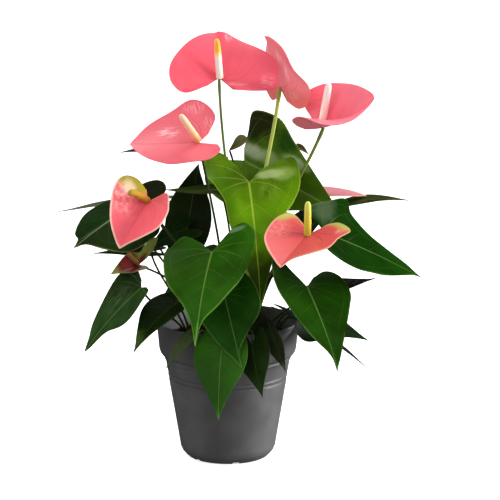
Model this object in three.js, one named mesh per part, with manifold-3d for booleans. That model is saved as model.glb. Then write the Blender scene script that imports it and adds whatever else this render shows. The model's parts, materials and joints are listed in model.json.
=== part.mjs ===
// A potted anthurium: nursery pot, potting soil, heart-shaped leaves on long stalks and eight blooms.
// Lengths are millimetres and angles are degrees. The pot stands on z = 0, centred on the z axis,
// and the viewer of the reference picture stands at -Y, so +X is to the viewer's right.
import * as THREE from 'three';
import { mergeVertices } from 'three/addons/utils/BufferGeometryUtils.js';
import Module from 'manifold-3d';

const wasm = await Module();
wasm.setup();

const gap = 0.3; // clearance between pieces that touch on the real plant

const pot = {
  rimRadius: 70,
  height: 136,
  wall: 1.8,
  collarDrop: 35, // from the rim down to the underside of the collar
  collarRadius: 68,
  bodyTopRadius: 61.4,
  bodyFootRadius: 47,
  footRadius: 40,
  footRise: 13, // height over which the bottom corner rounds in to the foot
  grooves: [83.5, 78.5],
  grooveDepth: 0.7,
  sides: 36,
};
const drain = { holes: 6, holeRadius: 3.5, ring: 30, notchWidth: 7, notchHeight: 2.4, channel: 2.6 };
const soil = { top: 115, dome: 2, rootDepth: 12 };

const blade = { thickness: 0.8, leafRings: [0.55, 1], spatheRings: [0.4, 0.75, 1] };
const stalk = { radius: 1.1, sides: 5, steps: 6 };
const flowerStalk = { sides: 6, steps: 7 };
const spadix = { sides: 8, rings: 7, floretRelief: 0.22 };

// The usual half outlines, from the notch round the lobe and down the margin towards the drip tip. Each
// point is [share of the half width, share of the length from the stalk's junction]. A blade that has
// grown uneven names its own left and right halves.
const leafOutline = [
  [0.26, -0.15], [0.6, -0.29], [0.9, -0.13], [1, 0.12], [0.84, 0.36], [0.46, 0.62], [0.13, 0.86],
];
const spatheOutline = [
  [0.2, -0.22], [0.57, -0.31], [0.93, -0.16], [1, 0.08], [0.87, 0.39], [0.6, 0.67], [0.21, 0.9],
];
const dripTip = [0, 1];

const finish = {
  pot: { color: 0x4a4a4c, roughness: 0.45 },
  soil: { color: 0x1d1815, roughness: 0.95 },
  leaf: { color: 0x1f4d12, roughness: 0.35 },
  darkLeaf: { color: 0x12300f, roughness: 0.35 },
  midLeaf: { color: 0x2c6610, roughness: 0.35 },
  brightLeaf: { color: 0x5c8c0a, roughness: 0.35 },
  youngLeaf: { color: 0x5a3a26, roughness: 0.45 },
  spathe: { color: 0xf2566e, roughness: 0.3 },
  greenStalk: { color: 0x7f9a36, roughness: 0.5 },
  darkStalk: { color: 0x2e3a1a, roughness: 0.5 },
  creamSpadix: { color: 0xf3dcae, roughness: 0.6 },
  goldSpadix: { color: 0xd9ab2a, roughness: 0.6 },
};

const radians = THREE.MathUtils.degToRad;
const vector = (point) => new THREE.Vector3(...point);

const part = new THREE.Group();

function addPiece(name, solid, look) {
  const piece = new THREE.Mesh(geometryOf(solid), new THREE.MeshStandardMaterial({ metalness: 0, ...look }));
  piece.name = name;
  part.add(piece);
}

// A closed three.js geometry as a solid that can be joined and cut.
function solidOf(geometry) {
  const bare = new THREE.BufferGeometry().setAttribute('position', geometry.getAttribute('position'));
  if (geometry.index) bare.setIndex(geometry.index);
  const merged = mergeVertices(bare, 1e-4);
  return new wasm.Manifold(new wasm.Mesh({
    numProp: 3,
    vertProperties: new Float32Array(merged.getAttribute('position').array),
    triVerts: new Uint32Array(merged.index.array),
  }));
}

function geometryOf(solid) {
  const { vertProperties, triVerts } = solid.getMesh();
  const geometry = new THREE.BufferGeometry();
  geometry.setAttribute('position', new THREE.BufferAttribute(vertProperties, 3));
  geometry.setIndex(new THREE.BufferAttribute(triVerts, 1));
  return geometry;
}

// Pot and soil ---------------------------------------------------------------------------------

function turned(profile, sides = pot.sides) {
  const geometry = new THREE.LatheGeometry(profile.map(([r, z]) => new THREE.Vector2(r, z)), sides);
  return solidOf(geometry.rotateX(Math.PI / 2));
}

// Outer radius of the tapered body at height z, below the collar.
function bodyRadius(z) {
  const collarFoot = pot.height - pot.collarDrop;
  const share = (z - pot.footRise) / (collarFoot - pot.footRise);
  return pot.bodyFootRadius + (pot.bodyTopRadius - pot.bodyFootRadius) * share;
}

function groove(z) {
  const lip = 1.2;
  const r = bodyRadius(z);
  return [[r + 0.25, z - lip], [r - pot.grooveDepth, z], [r + 0.25, z + lip]];
}

// The inside follows the outside one wall further in, so the soil can be turned from the same points.
function insideProfile(clearance) {
  const inset = pot.wall + clearance;
  const collarFoot = pot.height - pot.collarDrop;
  return [
    [pot.footRadius - 1.5 - clearance, drain.channel + pot.wall + clearance],
    [pot.bodyFootRadius - inset, pot.footRise + 1],
    [pot.bodyTopRadius - inset, collarFoot - 1],
    [pot.collarRadius - inset, collarFoot + 8],
  ];
}

function potSolid() {
  const collarFoot = pot.height - pot.collarDrop;
  const outside = [
    [0, 0], [24, 0], [26, drain.channel], [34, drain.channel], [35.5, 0], [pot.footRadius - 0.8, 0],
    [pot.footRadius, 0.8], [pot.bodyFootRadius - 2.6, 5.5], [pot.bodyFootRadius, pot.footRise],
    ...[...pot.grooves].reverse().flatMap(groove),
    [pot.bodyTopRadius - 0.2, collarFoot - 3], [pot.bodyTopRadius + 0.6, collarFoot - 1.8],
    [pot.bodyTopRadius + 0.6, collarFoot], [pot.collarRadius - 1.6, collarFoot + 5.5],
    [pot.collarRadius, collarFoot + 9], [pot.rimRadius - 0.4, pot.height - 2.5],
    [pot.rimRadius, pot.height - 1.6], [pot.rimRadius - 0.6, pot.height],
  ];
  const inside = [
    [0, drain.channel + pot.wall],
    ...insideProfile(0),
    [pot.rimRadius - 0.8 - pot.wall, pot.height - 2],
    [pot.rimRadius - 0.2 - pot.wall, pot.height],
  ];
  let body = turned([...outside, ...inside.reverse()]);
  for (let i = 0; i < drain.holes; i += 1) {
    const turn = (i / drain.holes) * 2 * Math.PI;
    const hole = new THREE.CylinderGeometry(drain.holeRadius, drain.holeRadius, 12, 10)
      .rotateX(Math.PI / 2)
      .translate(drain.ring * Math.cos(turn), drain.ring * Math.sin(turn), 4);
    // The notch of one drain faces the viewer, a little right of the middle.
    const notch = new THREE.BoxGeometry(12, drain.notchWidth, drain.notchHeight)
      .translate(38, 0, drain.notchHeight / 2 - 0.4)
      .rotateZ(radians(-78) + turn);
    body = body.subtract(solidOf(hole)).subtract(solidOf(notch));
  }
  return body;
}

function soilSolid(stalkHoles) {
  const shape = insideProfile(gap);
  const [shoulderRadius] = shape[shape.length - 1];
  const filling = turned([
    [0, drain.channel + pot.wall + gap],
    ...shape,
    [shoulderRadius + 0.2, soil.top],
    [shoulderRadius * 0.6, soil.top + soil.dome],
    [0, soil.top + soil.dome],
  ]);
  return stalkHoles.reduce((filled, hole) => filled.subtract(hole), filling);
}

// Stalks ---------------------------------------------------------------------------------------

// A place in the crown, by its direction round the pot and its distance from the middle.
function rootPlace([direction, distance]) {
  const turn = radians(direction);
  return new THREE.Vector3(
    distance * Math.cos(turn),
    distance * Math.sin(turn),
    soil.top - soil.rootDepth,
  );
}

// Upright out of the soil, then over any points named on the way, to where the stalk carries its blade.
function stalkCurve({ root, via, junction, arrive }) {
  const start = rootPlace(root);
  const end = vector(junction);
  if (via) {
    const collarOfSoil = start.clone().setZ(soil.top + 6);
    return new THREE.CatmullRomCurve3([start, collarOfSoil, ...via.map(vector), end], false, 'centripetal');
  }
  const reach = start.distanceTo(end);
  const outward = new THREE.Vector3(end.x - start.x, end.y - start.y, 0).multiplyScalar(0.5 / reach);
  const last = arrive ? vector(arrive).normalize() : outward.setZ(0.8).normalize();
  return new THREE.CubicBezierCurve3(
    start,
    start.clone().setZ(start.z + reach * 0.42),
    end.clone().addScaledVector(last, -reach * 0.3),
    end,
  );
}

function tube(curve, radius, sides, steps) {
  const section = new THREE.Shape();
  for (let i = 0; i < sides; i += 1) {
    const turn = (i / sides) * 2 * Math.PI;
    section[i === 0 ? 'moveTo' : 'lineTo'](radius * Math.cos(turn), radius * Math.sin(turn));
  }
  section.closePath();
  return solidOf(new THREE.ExtrudeGeometry(section, { steps, bevelEnabled: false, extrudePath: curve }));
}

const stalkHoles = [];

// The hole in the soil is the same stalk, wider all round and a little deeper.
function makeStalk(spec, radius, sides, steps) {
  const curve = stalkCurve(spec);
  const deeper = stalkCurve(spec);
  (deeper.points ? deeper.points[0] : deeper.v0).z -= gap;
  stalkHoles.push(tube(deeper, (radius + gap) / Math.cos(Math.PI / sides), sides, steps));
  return tube(curve, radius, sides, steps);
}

// Blades and spathes ---------------------------------------------------------------------------

// Axes of a blade: along runs from the junction to the tip, face is the way that its upper side looks.
function bladeAxes({ junction, tip, facing }) {
  const along = vector(tip).sub(vector(junction));
  const chord = along.length();
  along.normalize();
  const face = vector(facing);
  face.addScaledVector(along, -face.dot(along)).normalize();
  return { along, face, across: along.clone().cross(face), chord };
}

// The direction of the blade's midrib and the way it faces, where it leaves the junction.
function bladeStart(spec) {
  const { along, face } = bladeAxes(spec);
  const rise = radians(spec.arch ?? 0) / 2;
  return {
    midrib: along.clone().multiplyScalar(Math.cos(rise)).addScaledVector(face, Math.sin(rise)),
    facing: face.clone().multiplyScalar(Math.cos(rise)).addScaledVector(along, -Math.sin(rise)),
  };
}

// A point of the blade's middle surface. The midrib is an arc that turns by the angle arch from the
// junction to the tip, and by lobes behind it. The halves rise from it by the angle fold, and by close
// more at the tip; cup bows them and twist turns the tip about the midrib.
function bladePoint(axes, spec, [side, share], reach, turn) {
  const { arch = 0.01, lobes = arch, fold = 0, close = 0, cup = 0, twist = 0 } = spec;
  const { wave = 0, waves = 5, wavePhase = 0 } = spec;
  const bend = radians(arch);
  const length = (axes.chord * bend) / 2 / Math.sin(bend / 2);
  const along = reach * share * length;
  const curl = (along < 0 ? radians(lobes) : bend) / length;
  const slope = bend / 2 - curl * along;
  const forward = (Math.sin(bend / 2) - Math.sin(slope)) / curl;
  const rise = (Math.cos(slope) - Math.cos(bend / 2)) / curl;
  const toTip = Math.max(0, along / length);
  const half = spec.width / 2;
  const offset = side * reach;
  const open = radians(fold + close * toTip ** 2);
  const lift = half * (Math.abs(offset) * Math.sin(open) + cup * offset ** 2)
    + wave * Math.sin(waves * Math.PI * turn + wavePhase) * reach ** 3;
  const sideways = half * offset * Math.cos(open);
  const turned = radians(twist) * toTip;
  const normal = axes.face.clone().multiplyScalar(Math.cos(slope))
    .addScaledVector(axes.along, -Math.sin(slope));
  const outward = axes.across.clone().multiplyScalar(Math.cos(turned))
    .addScaledVector(normal, Math.sin(turned));
  const upward = normal.multiplyScalar(Math.cos(turned)).addScaledVector(axes.across, -Math.sin(turned));
  return vector(spec.junction)
    .addScaledVector(axes.along, forward)
    .addScaledVector(axes.face, rise)
    .addScaledVector(outward, sideways)
    .addScaledVector(upward, lift);
}

// A fan of rays from the junction, each crossed by the rings, given the blade's thickness on both faces.
function bladeSolid(spec, usualHalf, rings, thickness) {
  const axes = bladeAxes(spec);
  const { left = usualHalf, right = usualHalf } = spec;
  const rays = [...left.map(([side, share]) => [-side, share]), dripTip, ...right.toReversed()];
  const middle = [vector(spec.junction)];
  rays.forEach((ray, i) => {
    const turn = (2 * i) / (rays.length - 1) - 1;
    rings.forEach((reach) => middle.push(bladePoint(axes, spec, ray, reach, turn)));
  });
  const at = (ray, ring) => 1 + ray * rings.length + ring;
  const faces = [];
  for (let i = 0; i + 1 < rays.length; i += 1) {
    faces.push([0, at(i, 0), at(i + 1, 0)]);
    for (let k = 0; k + 1 < rings.length; k += 1) {
      faces.push([at(i, k), at(i, k + 1), at(i + 1, k + 1)]);
      faces.push([at(i, k), at(i + 1, k + 1), at(i + 1, k)]);
    }
  }
  return thickened(middle, faces, thickness);
}

// A sheet made solid: the same triangles on both faces, and walls round its open edges.
function thickened(points, faces, thickness) {
  const sheet = new THREE.BufferGeometry().setFromPoints(points);
  sheet.setIndex(faces.flat());
  sheet.computeVertexNormals();
  const normals = sheet.getAttribute('normal');
  const shifted = (distance) => points.map((point, i) => (
    point.clone().addScaledVector(new THREE.Vector3().fromBufferAttribute(normals, i), distance)
  ));
  const count = points.length;
  const edges = new Set(faces.flatMap(([a, b, c]) => [`${a},${b}`, `${b},${c}`, `${c},${a}`]));
  const walls = [...edges]
    .map((edge) => edge.split(',').map(Number))
    .filter(([a, b]) => !edges.has(`${b},${a}`))
    .flatMap(([a, b]) => [[b, a, a + count], [b, a + count, b + count]]);
  const solid = new THREE.BufferGeometry()
    .setFromPoints([...shifted(thickness / 2), ...shifted(-thickness / 2)]);
  solid.setIndex([
    ...faces.flat(),
    ...faces.flatMap(([a, b, c]) => [c + count, b + count, a + count]),
    ...walls.flat(),
  ]);
  return solidOf(solid);
}

// A leaf is a blade fused with its stalk, which ends just inside the blade at the junction.
function addLeaf(name, spec, look = finish.darkLeaf) {
  const lamina = bladeSolid(spec, leafOutline, blade.leafRings, blade.thickness);
  const stem = makeStalk(spec, spec.stalkRadius ?? stalk.radius, stalk.sides, spec.steps ?? stalk.steps);
  addPiece(name, lamina.add(stem), look);
}

// Blooms ---------------------------------------------------------------------------------------

// The spike of florets: a tapered rod with a round end, its net of florets raised by turns.
function spadixSolid(base, end, radius, bow) {
  const length = base.distanceTo(end);
  const points = [];
  const { sides, rings } = spadix;
  for (let k = 0; k <= rings; k += 1) {
    const share = k / rings;
    const taper = (1 - 0.25 * share) * Math.sqrt(Math.max(0, 1 - share ** 8));
    for (let i = 0; i < sides; i += 1) {
      const relief = k > 0 && k < rings ? ((i + k) % 2 ? spadix.floretRelief : -spadix.floretRelief) : 0;
      const around = (i / sides) * 2 * Math.PI;
      const r = Math.max(0.35 * radius, radius * taper) + relief;
      points.push(new THREE.Vector3(r * Math.cos(around), r * Math.sin(around), share * length));
    }
  }
  const faces = [];
  for (let k = 0; k < rings; k += 1) {
    for (let i = 0; i < sides; i += 1) {
      const [a, b] = [k * sides + i, k * sides + ((i + 1) % sides)];
      faces.push([a, b, b + sides], [a, b + sides, a + sides]);
    }
  }
  const foot = points.length;
  points.push(new THREE.Vector3(0, 0, 0), new THREE.Vector3(0, 0, length));
  for (let i = 0; i < sides; i += 1) {
    const next = (i + 1) % sides;
    faces.push([foot, next, i], [foot + 1, rings * sides + i, rings * sides + next]);
  }
  const upright = new THREE.Quaternion().setFromUnitVectors(
    new THREE.Vector3(0, 0, 1),
    end.clone().sub(base).normalize(),
  );
  const placed = points.map((point) => {
    const share = point.z / length;
    return point.applyQuaternion(upright).add(base).addScaledVector(bow, 4 * share * (1 - share));
  });
  const geometry = new THREE.BufferGeometry().setFromPoints(placed);
  geometry.setIndex(faces.flat());
  return solidOf(geometry);
}

// How far a rod's centre stands off the spathe, so that its tilted end clears both halves by the gap.
function standOff(radius, direction, facing, fold) {
  const tilt = Math.sqrt(1 - Math.min(1, Math.abs(direction.dot(facing))) ** 2);
  return blade.thickness / 2 + gap + radius * (tilt + Math.sin(radians(fold)));
}

// The stalk ends just under the spathe and the spadix stands just over it.
function addBloom(name, spec, look = {}) {
  const { facing } = bladeStart(spec);
  const junction = vector(spec.junction);
  const spike = vector(spec.spadixEnd);
  const bow = vector(spec.bow ?? [0, 0, 0]);
  const spikeRadius = spec.spadixRadius ?? 3.2;
  const leaning = spike.clone().sub(junction).normalize();
  const seat = junction.clone()
    .addScaledVector(facing, standOff(spikeRadius + spadix.floretRelief, leaning, facing, spec.fold));
  const climbing = stalkCurve(spec).getTangent(1);
  const stop = junction.clone()
    .addScaledVector(facing, -standOff(spec.stalkRadius, climbing, facing, 0));
  const stem = { ...spec, junction: stop.toArray() };
  addPiece(`${name}_stalk`, makeStalk(stem, spec.stalkRadius, flowerStalk.sides, flowerStalk.steps),
    look.stalk ?? finish.darkStalk);
  addPiece(`${name}_spathe`, bladeSolid(spec, spatheOutline, blade.spatheRings, blade.thickness),
    finish.spathe);
  addPiece(`${name}_spadix`, spadixSolid(seat, spike, spikeRadius, bow), look.spadix ?? finish.creamSpadix);
}

addPiece('pot', potSolid(), finish.pot);

// Leaves: junction and tip are where the blade starts and ends, facing is the way that its upper side
// looks, root is [direction round the crown, distance from its middle].

// The bright leaf rolls its margins under below the lobes, which leaves it narrow there.
addLeaf('leaf_bright_centre', {
  root: [-40, 10], junction: [21, -10, 274], tip: [32, -60, 161], width: 97, facing: [0.1, -0.85, 0.5],
  arch: 40, fold: 6, close: -20, wave: 2,
  left: [
    [0.28, -0.11], [0.64, -0.18], [0.96, -0.16], [1.02, 0.04], [0.82, 0.21], [0.51, 0.37], [0.28, 0.67],
  ],
  right: [
    [0.27, -0.19], [0.6, -0.29], [0.86, -0.19], [0.86, -0.05], [0.7, 0.04], [0.54, 0.16], [0.46, 0.42],
  ],
}, finish.brightLeaf);
addLeaf('leaf_front_left', {
  root: [-110, 24], junction: [-14, -64, 216], tip: [-29, -146, 144], width: 96,
  facing: [-0.34, -0.52, 0.78], arch: 18, fold: 9, close: 12, twist: 6, wave: 1.5,
  left: [
    [0.29, -0.26], [0.51, -0.33], [0.94, -0.11], [0.97, 0.11], [0.82, 0.41], [0.47, 0.63], [0.08, 0.77],
  ],
  right: [
    [0.27, -0.11], [0.66, -0.19], [0.89, -0.08], [0.97, 0.04], [0.77, 0.36], [0.37, 0.59], [0.11, 0.81],
  ],
}, finish.midLeaf);
addLeaf('leaf_front_right', {
  root: [-36, 34], junction: [76, -58, 181], tip: [103, -134, 117], width: 88,
  facing: [0.46, -0.47, 0.75], arch: 14, fold: 9, wave: 1.5,
  left: [
    [0.27, -0.13], [0.67, -0.23], [0.92, -0.13], [1.01, 0.08], [0.8, 0.29], [0.44, 0.58], [0.15, 0.87],
  ],
  right: [[0.25, -0.2], [0.56, -0.36], [0.84, -0.1], [0.99, 0.2], [0.86, 0.38], [0.45, 0.63], [0.11, 0.83]],
}, finish.leaf);
addLeaf('leaf_right_broad', {
  root: [-10, 22], junction: [95, -28, 227], tip: [189, 2, 177], width: 101, facing: [0.5, -0.33, 0.8],
  arch: 8, fold: 10, close: -8, twist: -6, cup: 0.05, wave: 1.5,
  arrive: [0.9, -0.2, 0.35],
  left: [[0.23, -0.1], [0.54, -0.17], [0.85, 0.02], [1.1, 0.2], [0.76, 0.26], [0.38, 0.47], [0.16, 0.87]],
  right: [[0.27, -0.07], [0.62, -0.1], [1.04, 0.02], [1.2, 0.21], [0.96, 0.39], [0.54, 0.6], [0.16, 0.85]],
}, finish.leaf);
addLeaf('leaf_front_under', {
  root: [-88, 42], junction: [-2, -76, 176], tip: [14, -102, 113], width: 68,
  facing: [-0.08, -0.94, 0.3], arch: 28, fold: 9, wave: 1,
  left: [
    [0.24, -0.16], [0.58, -0.28], [0.86, -0.1], [0.96, 0.16], [0.84, 0.36], [0.43, 0.56], [0.08, 0.76],
  ],
  right: [
    [0.25, -0.17], [0.59, -0.29], [0.89, -0.14], [0.98, 0.1], [0.78, 0.31], [0.46, 0.64], [0.14, 0.88],
  ],
}, finish.leaf);
addLeaf('leaf_pot_front', {
  root: [-104, 50], via: [[-10, -60, 139.5], [-7, -71, 138.8]], junction: [-5, -84, 127],
  tip: [-8, -112, 65], width: 52, facing: [-0.19, -0.85, 0.5], arch: 29, fold: 4, wave: 1, steps: 9,
}, finish.leaf);
addLeaf('leaf_pot_right', {
  root: [-72, 50], via: [[21, -63, 139], [24, -77, 140]], junction: [24, -80, 130], tip: [34, -88, 80],
  width: 38, facing: [-0.45, -0.88, 0.1], arch: 22, fold: 7, steps: 9,
});
addLeaf('leaf_rim_right', {
  root: [-52, 48], via: [[38, -56, 149]], junction: [38, -62, 152], tip: [56, -74, 102], width: 34,
  facing: [-0.1, -0.97, 0.15], arch: 30, fold: 10, wave: 1, steps: 7,
  left: [[0.15, 0.04], [0.22, 0.1], [0.26, 0.2], [0.34, 0.32], [0.42, 0.46], [0.34, 0.66], [0.12, 0.87]],
});
addLeaf('leaf_left_low', {
  root: [196, 36], junction: [-83, -25, 173], tip: [-138, -46, 114], width: 52,
  facing: [-0.55, -0.6, 0.6], arch: 20, fold: 12, wave: 1.5, lobes: 120,
  left: [[0.17, -0.04], [0.42, -0.02], [0.74, 0.08], [0.9, 0.27], [0.86, 0.5], [0.47, 0.66], [0.13, 0.85]],
  right: [
    [0.3, -0.07], [0.68, -0.11], [1.07, -0.11], [1.14, 0.04], [0.88, 0.32], [0.51, 0.68], [0.14, 0.86],
  ],
}, finish.leaf);
addLeaf('leaf_left_inner', {
  root: [216, 42], junction: [-50, -42, 160], tip: [-89, -80, 122], width: 54,
  facing: [-0.45, -0.4, 0.8], arch: 32, fold: 12,
});
addLeaf('leaf_left_mid', {
  root: [184, 24], junction: [-95, 0, 248], tip: [-145, -68, 221], width: 85, facing: [0.2, -0.5, 0.83],
  arch: 10, fold: -34, wave: 1.5,
  left: [[0.25, -0.17], [0.6, -0.3], [0.9, -0.15], [0.91, 0.12], [0.8, 0.45], [0.48, 0.69], [0.11, 0.84]],
  right: [
    [0.27, -0.19], [0.64, -0.32], [0.96, -0.19], [0.98, 0.1], [0.85, 0.39], [0.51, 0.69], [0.13, 0.86],
  ],
}, finish.leaf);
addLeaf('leaf_left_edge', {
  root: [160, 20], junction: [-75, 66, 242], tip: [-169, 54, 233], width: 44, facing: [0.05, 0.02, 1],
  arch: 8, fold: 4,
}, finish.leaf);
addLeaf('leaf_back_left_upright', {
  root: [125, 24], junction: [-40, 20, 221], tip: [-29, 62, 280], width: 46,
  facing: [0.09, -0.76, 0.65], arch: 30, fold: 12,
  left: [[0.26, -0.15], [0.6, -0.29], [0.9, -0.13], [1, 0.12], [0.92, 0.36], [0.57, 0.62], [0.21, 0.86]],
});
addLeaf('leaf_left_upper', {
  root: [190, 12], junction: [-16, 0, 264], tip: [-60, -6, 266], width: 44, facing: [0.05, -0.02, 1],
  arch: -8, fold: 4, arrive: [-1, 0, 0.25],
});
addLeaf('leaf_back_broad', {
  root: [78, 20], junction: [16, 56, 284], tip: [112, 16, 238], width: 95, facing: [-0.38, -0.82, 0.42],
  arch: 38, fold: 11, cup: 0.03, wave: 1.5, lobes: 110,
  left: [
    [0.23, -0.05], [0.65, -0.09], [1.03, -0.08], [1.12, 0.15], [0.86, 0.34], [0.47, 0.62], [0.14, 0.87],
  ],
  right: [[0.13, -0.14], [0.56, -0.3], [0.89, -0.14], [1, 0.12], [0.84, 0.36], [0.46, 0.62], [0.13, 0.86]],
}, finish.leaf);
addLeaf('leaf_right_edge', {
  root: [18, 28], junction: [118, 44, 243], tip: [178, 40, 247], width: 48, facing: [0, 0, 1],
  arch: 20, fold: 4, arrive: [0.9, 0.25, 0.3],
}, finish.leaf);
addLeaf('leaf_right_small', {
  root: [4, 36], junction: [88, 28, 157], tip: [146, 22, 172], width: 40, facing: [0, -0.25, 1], arch: 4,
  fold: 4,
});
addLeaf('leaf_right_low', {
  root: [-8, 46], via: [[56, -8, 143]], junction: [73, -13, 142], tip: [137, -24, 120],
  width: 46, facing: [0.25, -0.6, 0.75], arch: 16, fold: 4, steps: 8,
  left: [[0.26, 0.02], [0.5, 0.04], [0.66, 0.1], [0.72, 0.25], [0.62, 0.42], [0.38, 0.65], [0.12, 0.86]],
  right: [
    [0.32, -0.02], [0.72, -0.04], [1.14, 0.04], [1.38, 0.2], [1.05, 0.38], [0.45, 0.62], [0.12, 0.86],
  ],
});
addLeaf('leaf_right_lowest', {
  root: [-24, 50], via: [[57, -34, 144]], junction: [65, -44, 148], tip: [134, -60, 102], width: 32,
  facing: [0.5, 0, 0.8], arch: 12, fold: 6, steps: 8,
});
addLeaf('leaf_left_small', {
  root: [172, 36], junction: [-76, 28, 198], tip: [-132, 22, 197], width: 36, facing: [0, -0.12, 1],
  arch: 8, fold: 4,
});
addLeaf('leaf_rim_left', {
  root: [-126, 50], via: [[-31, -56, 141]], junction: [-34, -72, 137], tip: [-58, -88, 108], width: 20,
  facing: [-0.6, -0.4, 0.7], arch: 24, fold: 6, steps: 8,
});
addLeaf('leaf_left_dark', {
  root: [208, 20], junction: [-40, 0, 226], tip: [-78, -6, 206], width: 36, facing: [-0.2, -0.6, 0.8],
  arch: 24, fold: 6,
});
addLeaf('leaf_left_high', {
  root: [70, 14], junction: [-22, 40, 291], tip: [-105, 34, 296], width: 50, facing: [0, -0.16, 1],
  arch: 24, fold: 4, arrive: [-0.5, 0.15, 0.8],
});

addLeaf('leaf_young_curled', {
  root: [100, 13], junction: [1.8, 22, 300], tip: [19, 20, 313], width: 11, facing: [0.3, -0.9, 0.3],
  arch: 30, fold: 24, stalkRadius: 0.9, arrive: [-0.35, 0.1, 0.93],
  left: [[0.2, 0.06], [0.34, 0.16], [0.5, 0.28], [0.8, 0.42], [1.2, 0.58], [1.3, 0.78], [0.8, 0.93]],
  right: [[0.2, 0.06], [0.34, 0.16], [0.48, 0.3], [0.6, 0.46], [0.66, 0.62], [0.6, 0.8], [0.36, 0.95]],
}, finish.youngLeaf);
addLeaf('leaf_young_back', {
  root: [44, 20], junction: [70, 66, 295.5], tip: [80.5, 62, 289], width: 8, facing: [0.3, -0.7, 0.6],
  arch: 20, fold: 30, stalkRadius: 0.9,
}, finish.youngLeaf);

// Four leaves fill the crown behind. The picture shows a little of the right one between the others.
addLeaf('leaf_rear_left', {
  root: [112, 38], junction: [-34, 66, 190], tip: [-44, 128, 136], width: 56, facing: [-0.1, 0.6, 0.8],
  arch: 30, fold: 6, wave: 1.5,
}, finish.leaf);
addLeaf('leaf_rear_right', {
  root: [44, 32], junction: [66, 64, 228], tip: [82, 122, 190], width: 52, facing: [0.1, 0.5, 0.85],
  arch: 20, fold: 6, wave: 1.5,
});
// A small round leaf that peeks out from behind the lower left bloom.
const bluntHalf = [
  [0.26, -0.1], [0.6, -0.1], [0.85, 0.1], [1, 0.35], [0.98, 0.6], [0.8, 0.82], [0.42, 0.96],
];
addLeaf('leaf_rear_high', {
  root: [150, 34], junction: [-91, 34, 250], tip: [-61, 35, 263], width: 20, facing: [0.1, -0.92, 0.4],
  arch: 24, fold: 6, left: bluntHalf, right: bluntHalf,
}, finish.leaf);
addLeaf('leaf_rear_outer', {
  root: [136, 40], via: [[-37, 58, 145]], junction: [-42, 76, 148], tip: [-58, 114, 90], width: 42,
  facing: [-0.3, 0.85, 0.45], arch: 30, fold: 6, wave: 1,
}, finish.leaf);
addLeaf('leaf_rear_low', {
  root: [88, 48], via: [[2, 62, 148], [2, 76, 156]], junction: [2, 90, 156], tip: [6, 132, 86],
  width: 60, facing: [0, 0.9, 0.5], arch: 30, fold: 6, wave: 1, steps: 8,
}, finish.leaf);

// Blooms: junction is where stalk, spathe and spadix meet.

addBloom('bloom_top', {
  root: [30, 15], junction: [-8, 10, 372], tip: [-9, 38, 414], width: 115, facing: [0.24, -0.87, 0.42],
  arch: 22, fold: 13, close: -5, twist: -5, cup: 0.04, wave: 1.5, waves: 7, stalkRadius: 1.3,
  spadixEnd: [-10, -4, 412], spadixRadius: 3.4, arrive: [-0.02, 0, 1],
  left: [[0.22, -0.18], [0.63, -0.36], [0.87, -0.22], [0.92, 0.07], [0.79, 0.34], [0.57, 0.62], [0.2, 0.9]],
  right: [
    [0.24, -0.21], [0.58, -0.21], [0.95, -0.16], [0.99, 0.05], [0.96, 0.34], [0.62, 0.66], [0.23, 0.91],
  ],
});
addBloom('bloom_top_right', {
  root: [8, 14], junction: [51, 40, 359], tip: [36, 30, 411], width: 97, facing: [0.85, 0.43, 0.31],
  arch: 16, fold: 9, close: 12, twist: 12, stalkRadius: 1.9, spadixEnd: [59, 54, 385],
  arrive: [0.12, 0.3, 1],
  left: [
    [0.19, -0.23], [0.58, -0.32], [0.95, -0.15], [1.03, 0.15], [0.67, 0.41], [0.52, 0.78], [0.22, 0.98],
  ],
  right: [
    [0.21, -0.22], [0.58, -0.32], [0.94, -0.16], [1.01, 0.08], [0.89, 0.41], [0.62, 0.68], [0.22, 0.9],
  ],
}, { stalk: finish.greenStalk });
addBloom('bloom_right', {
  root: [-12, 14], junction: [93, 10, 324], tip: [140, -22, 357], width: 92,
  facing: [-0.67, -0.16, 0.73], arch: -30, fold: 50, close: -48, twist: -12, cup: -0.04,
  stalkRadius: 1.6, spadixEnd: [97.5, -6, 370], spadixRadius: 3.7, arrive: [0.4, 0.1, 1],
  left: [[0.25, -0.17], [0.62, -0.3], [0.91, -0.2], [0.97, 0.1], [0.87, 0.4], [0.66, 0.69], [0.26, 0.93]],
  right: [
    [0.18, -0.25], [0.56, -0.28], [1.02, -0.2], [1.22, 0.03], [1.22, 0.46], [0.7, 0.72], [0.2, 0.84],
  ],
}, { stalk: finish.greenStalk });
addBloom('bloom_left', {
  root: [270, 12], junction: [-27, -34, 316], tip: [-92, -42, 316], width: 108,
  facing: [0.04, -0.4, 0.92], arch: -8, fold: 16, close: -26, stalkRadius: 1.2,
  spadixEnd: [-44, -46, 345], arrive: [-0.22, 0.28, 1],
  left: [[0.17, -0.27], [0.54, -0.28], [0.91, -0.11], [1.01, 0.1], [0.9, 0.43], [0.61, 0.66], [0.23, 0.91]],
  right: [
    [0.21, -0.16], [0.61, -0.3], [0.95, -0.16], [1.04, 0.06], [0.83, 0.35], [0.58, 0.7], [0.21, 0.92],
  ],
});
addBloom('bloom_left_low', {
  root: [212, 14], junction: [-75, -56, 263], tip: [-101, -82, 223], width: 71,
  facing: [-0.18, -0.83, 0.54], arch: 12, fold: 30, close: 8, twist: 8, stalkRadius: 1.4,
  spadixEnd: [-91, -82, 276], bow: [-3, 0, 3], arrive: [-0.2, -0.7, 0.65],
  left: [
    [0.17, -0.11], [0.48, -0.23], [0.81, -0.01], [0.96, 0.18], [0.93, 0.46], [0.61, 0.67], [0.2, 0.87],
  ],
  right: [
    [0.21, -0.17], [0.58, -0.24], [0.91, -0.15], [1.02, 0.09], [0.86, 0.39], [0.6, 0.69], [0.21, 0.92],
  ],
}, { spadix: finish.goldSpadix });
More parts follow.
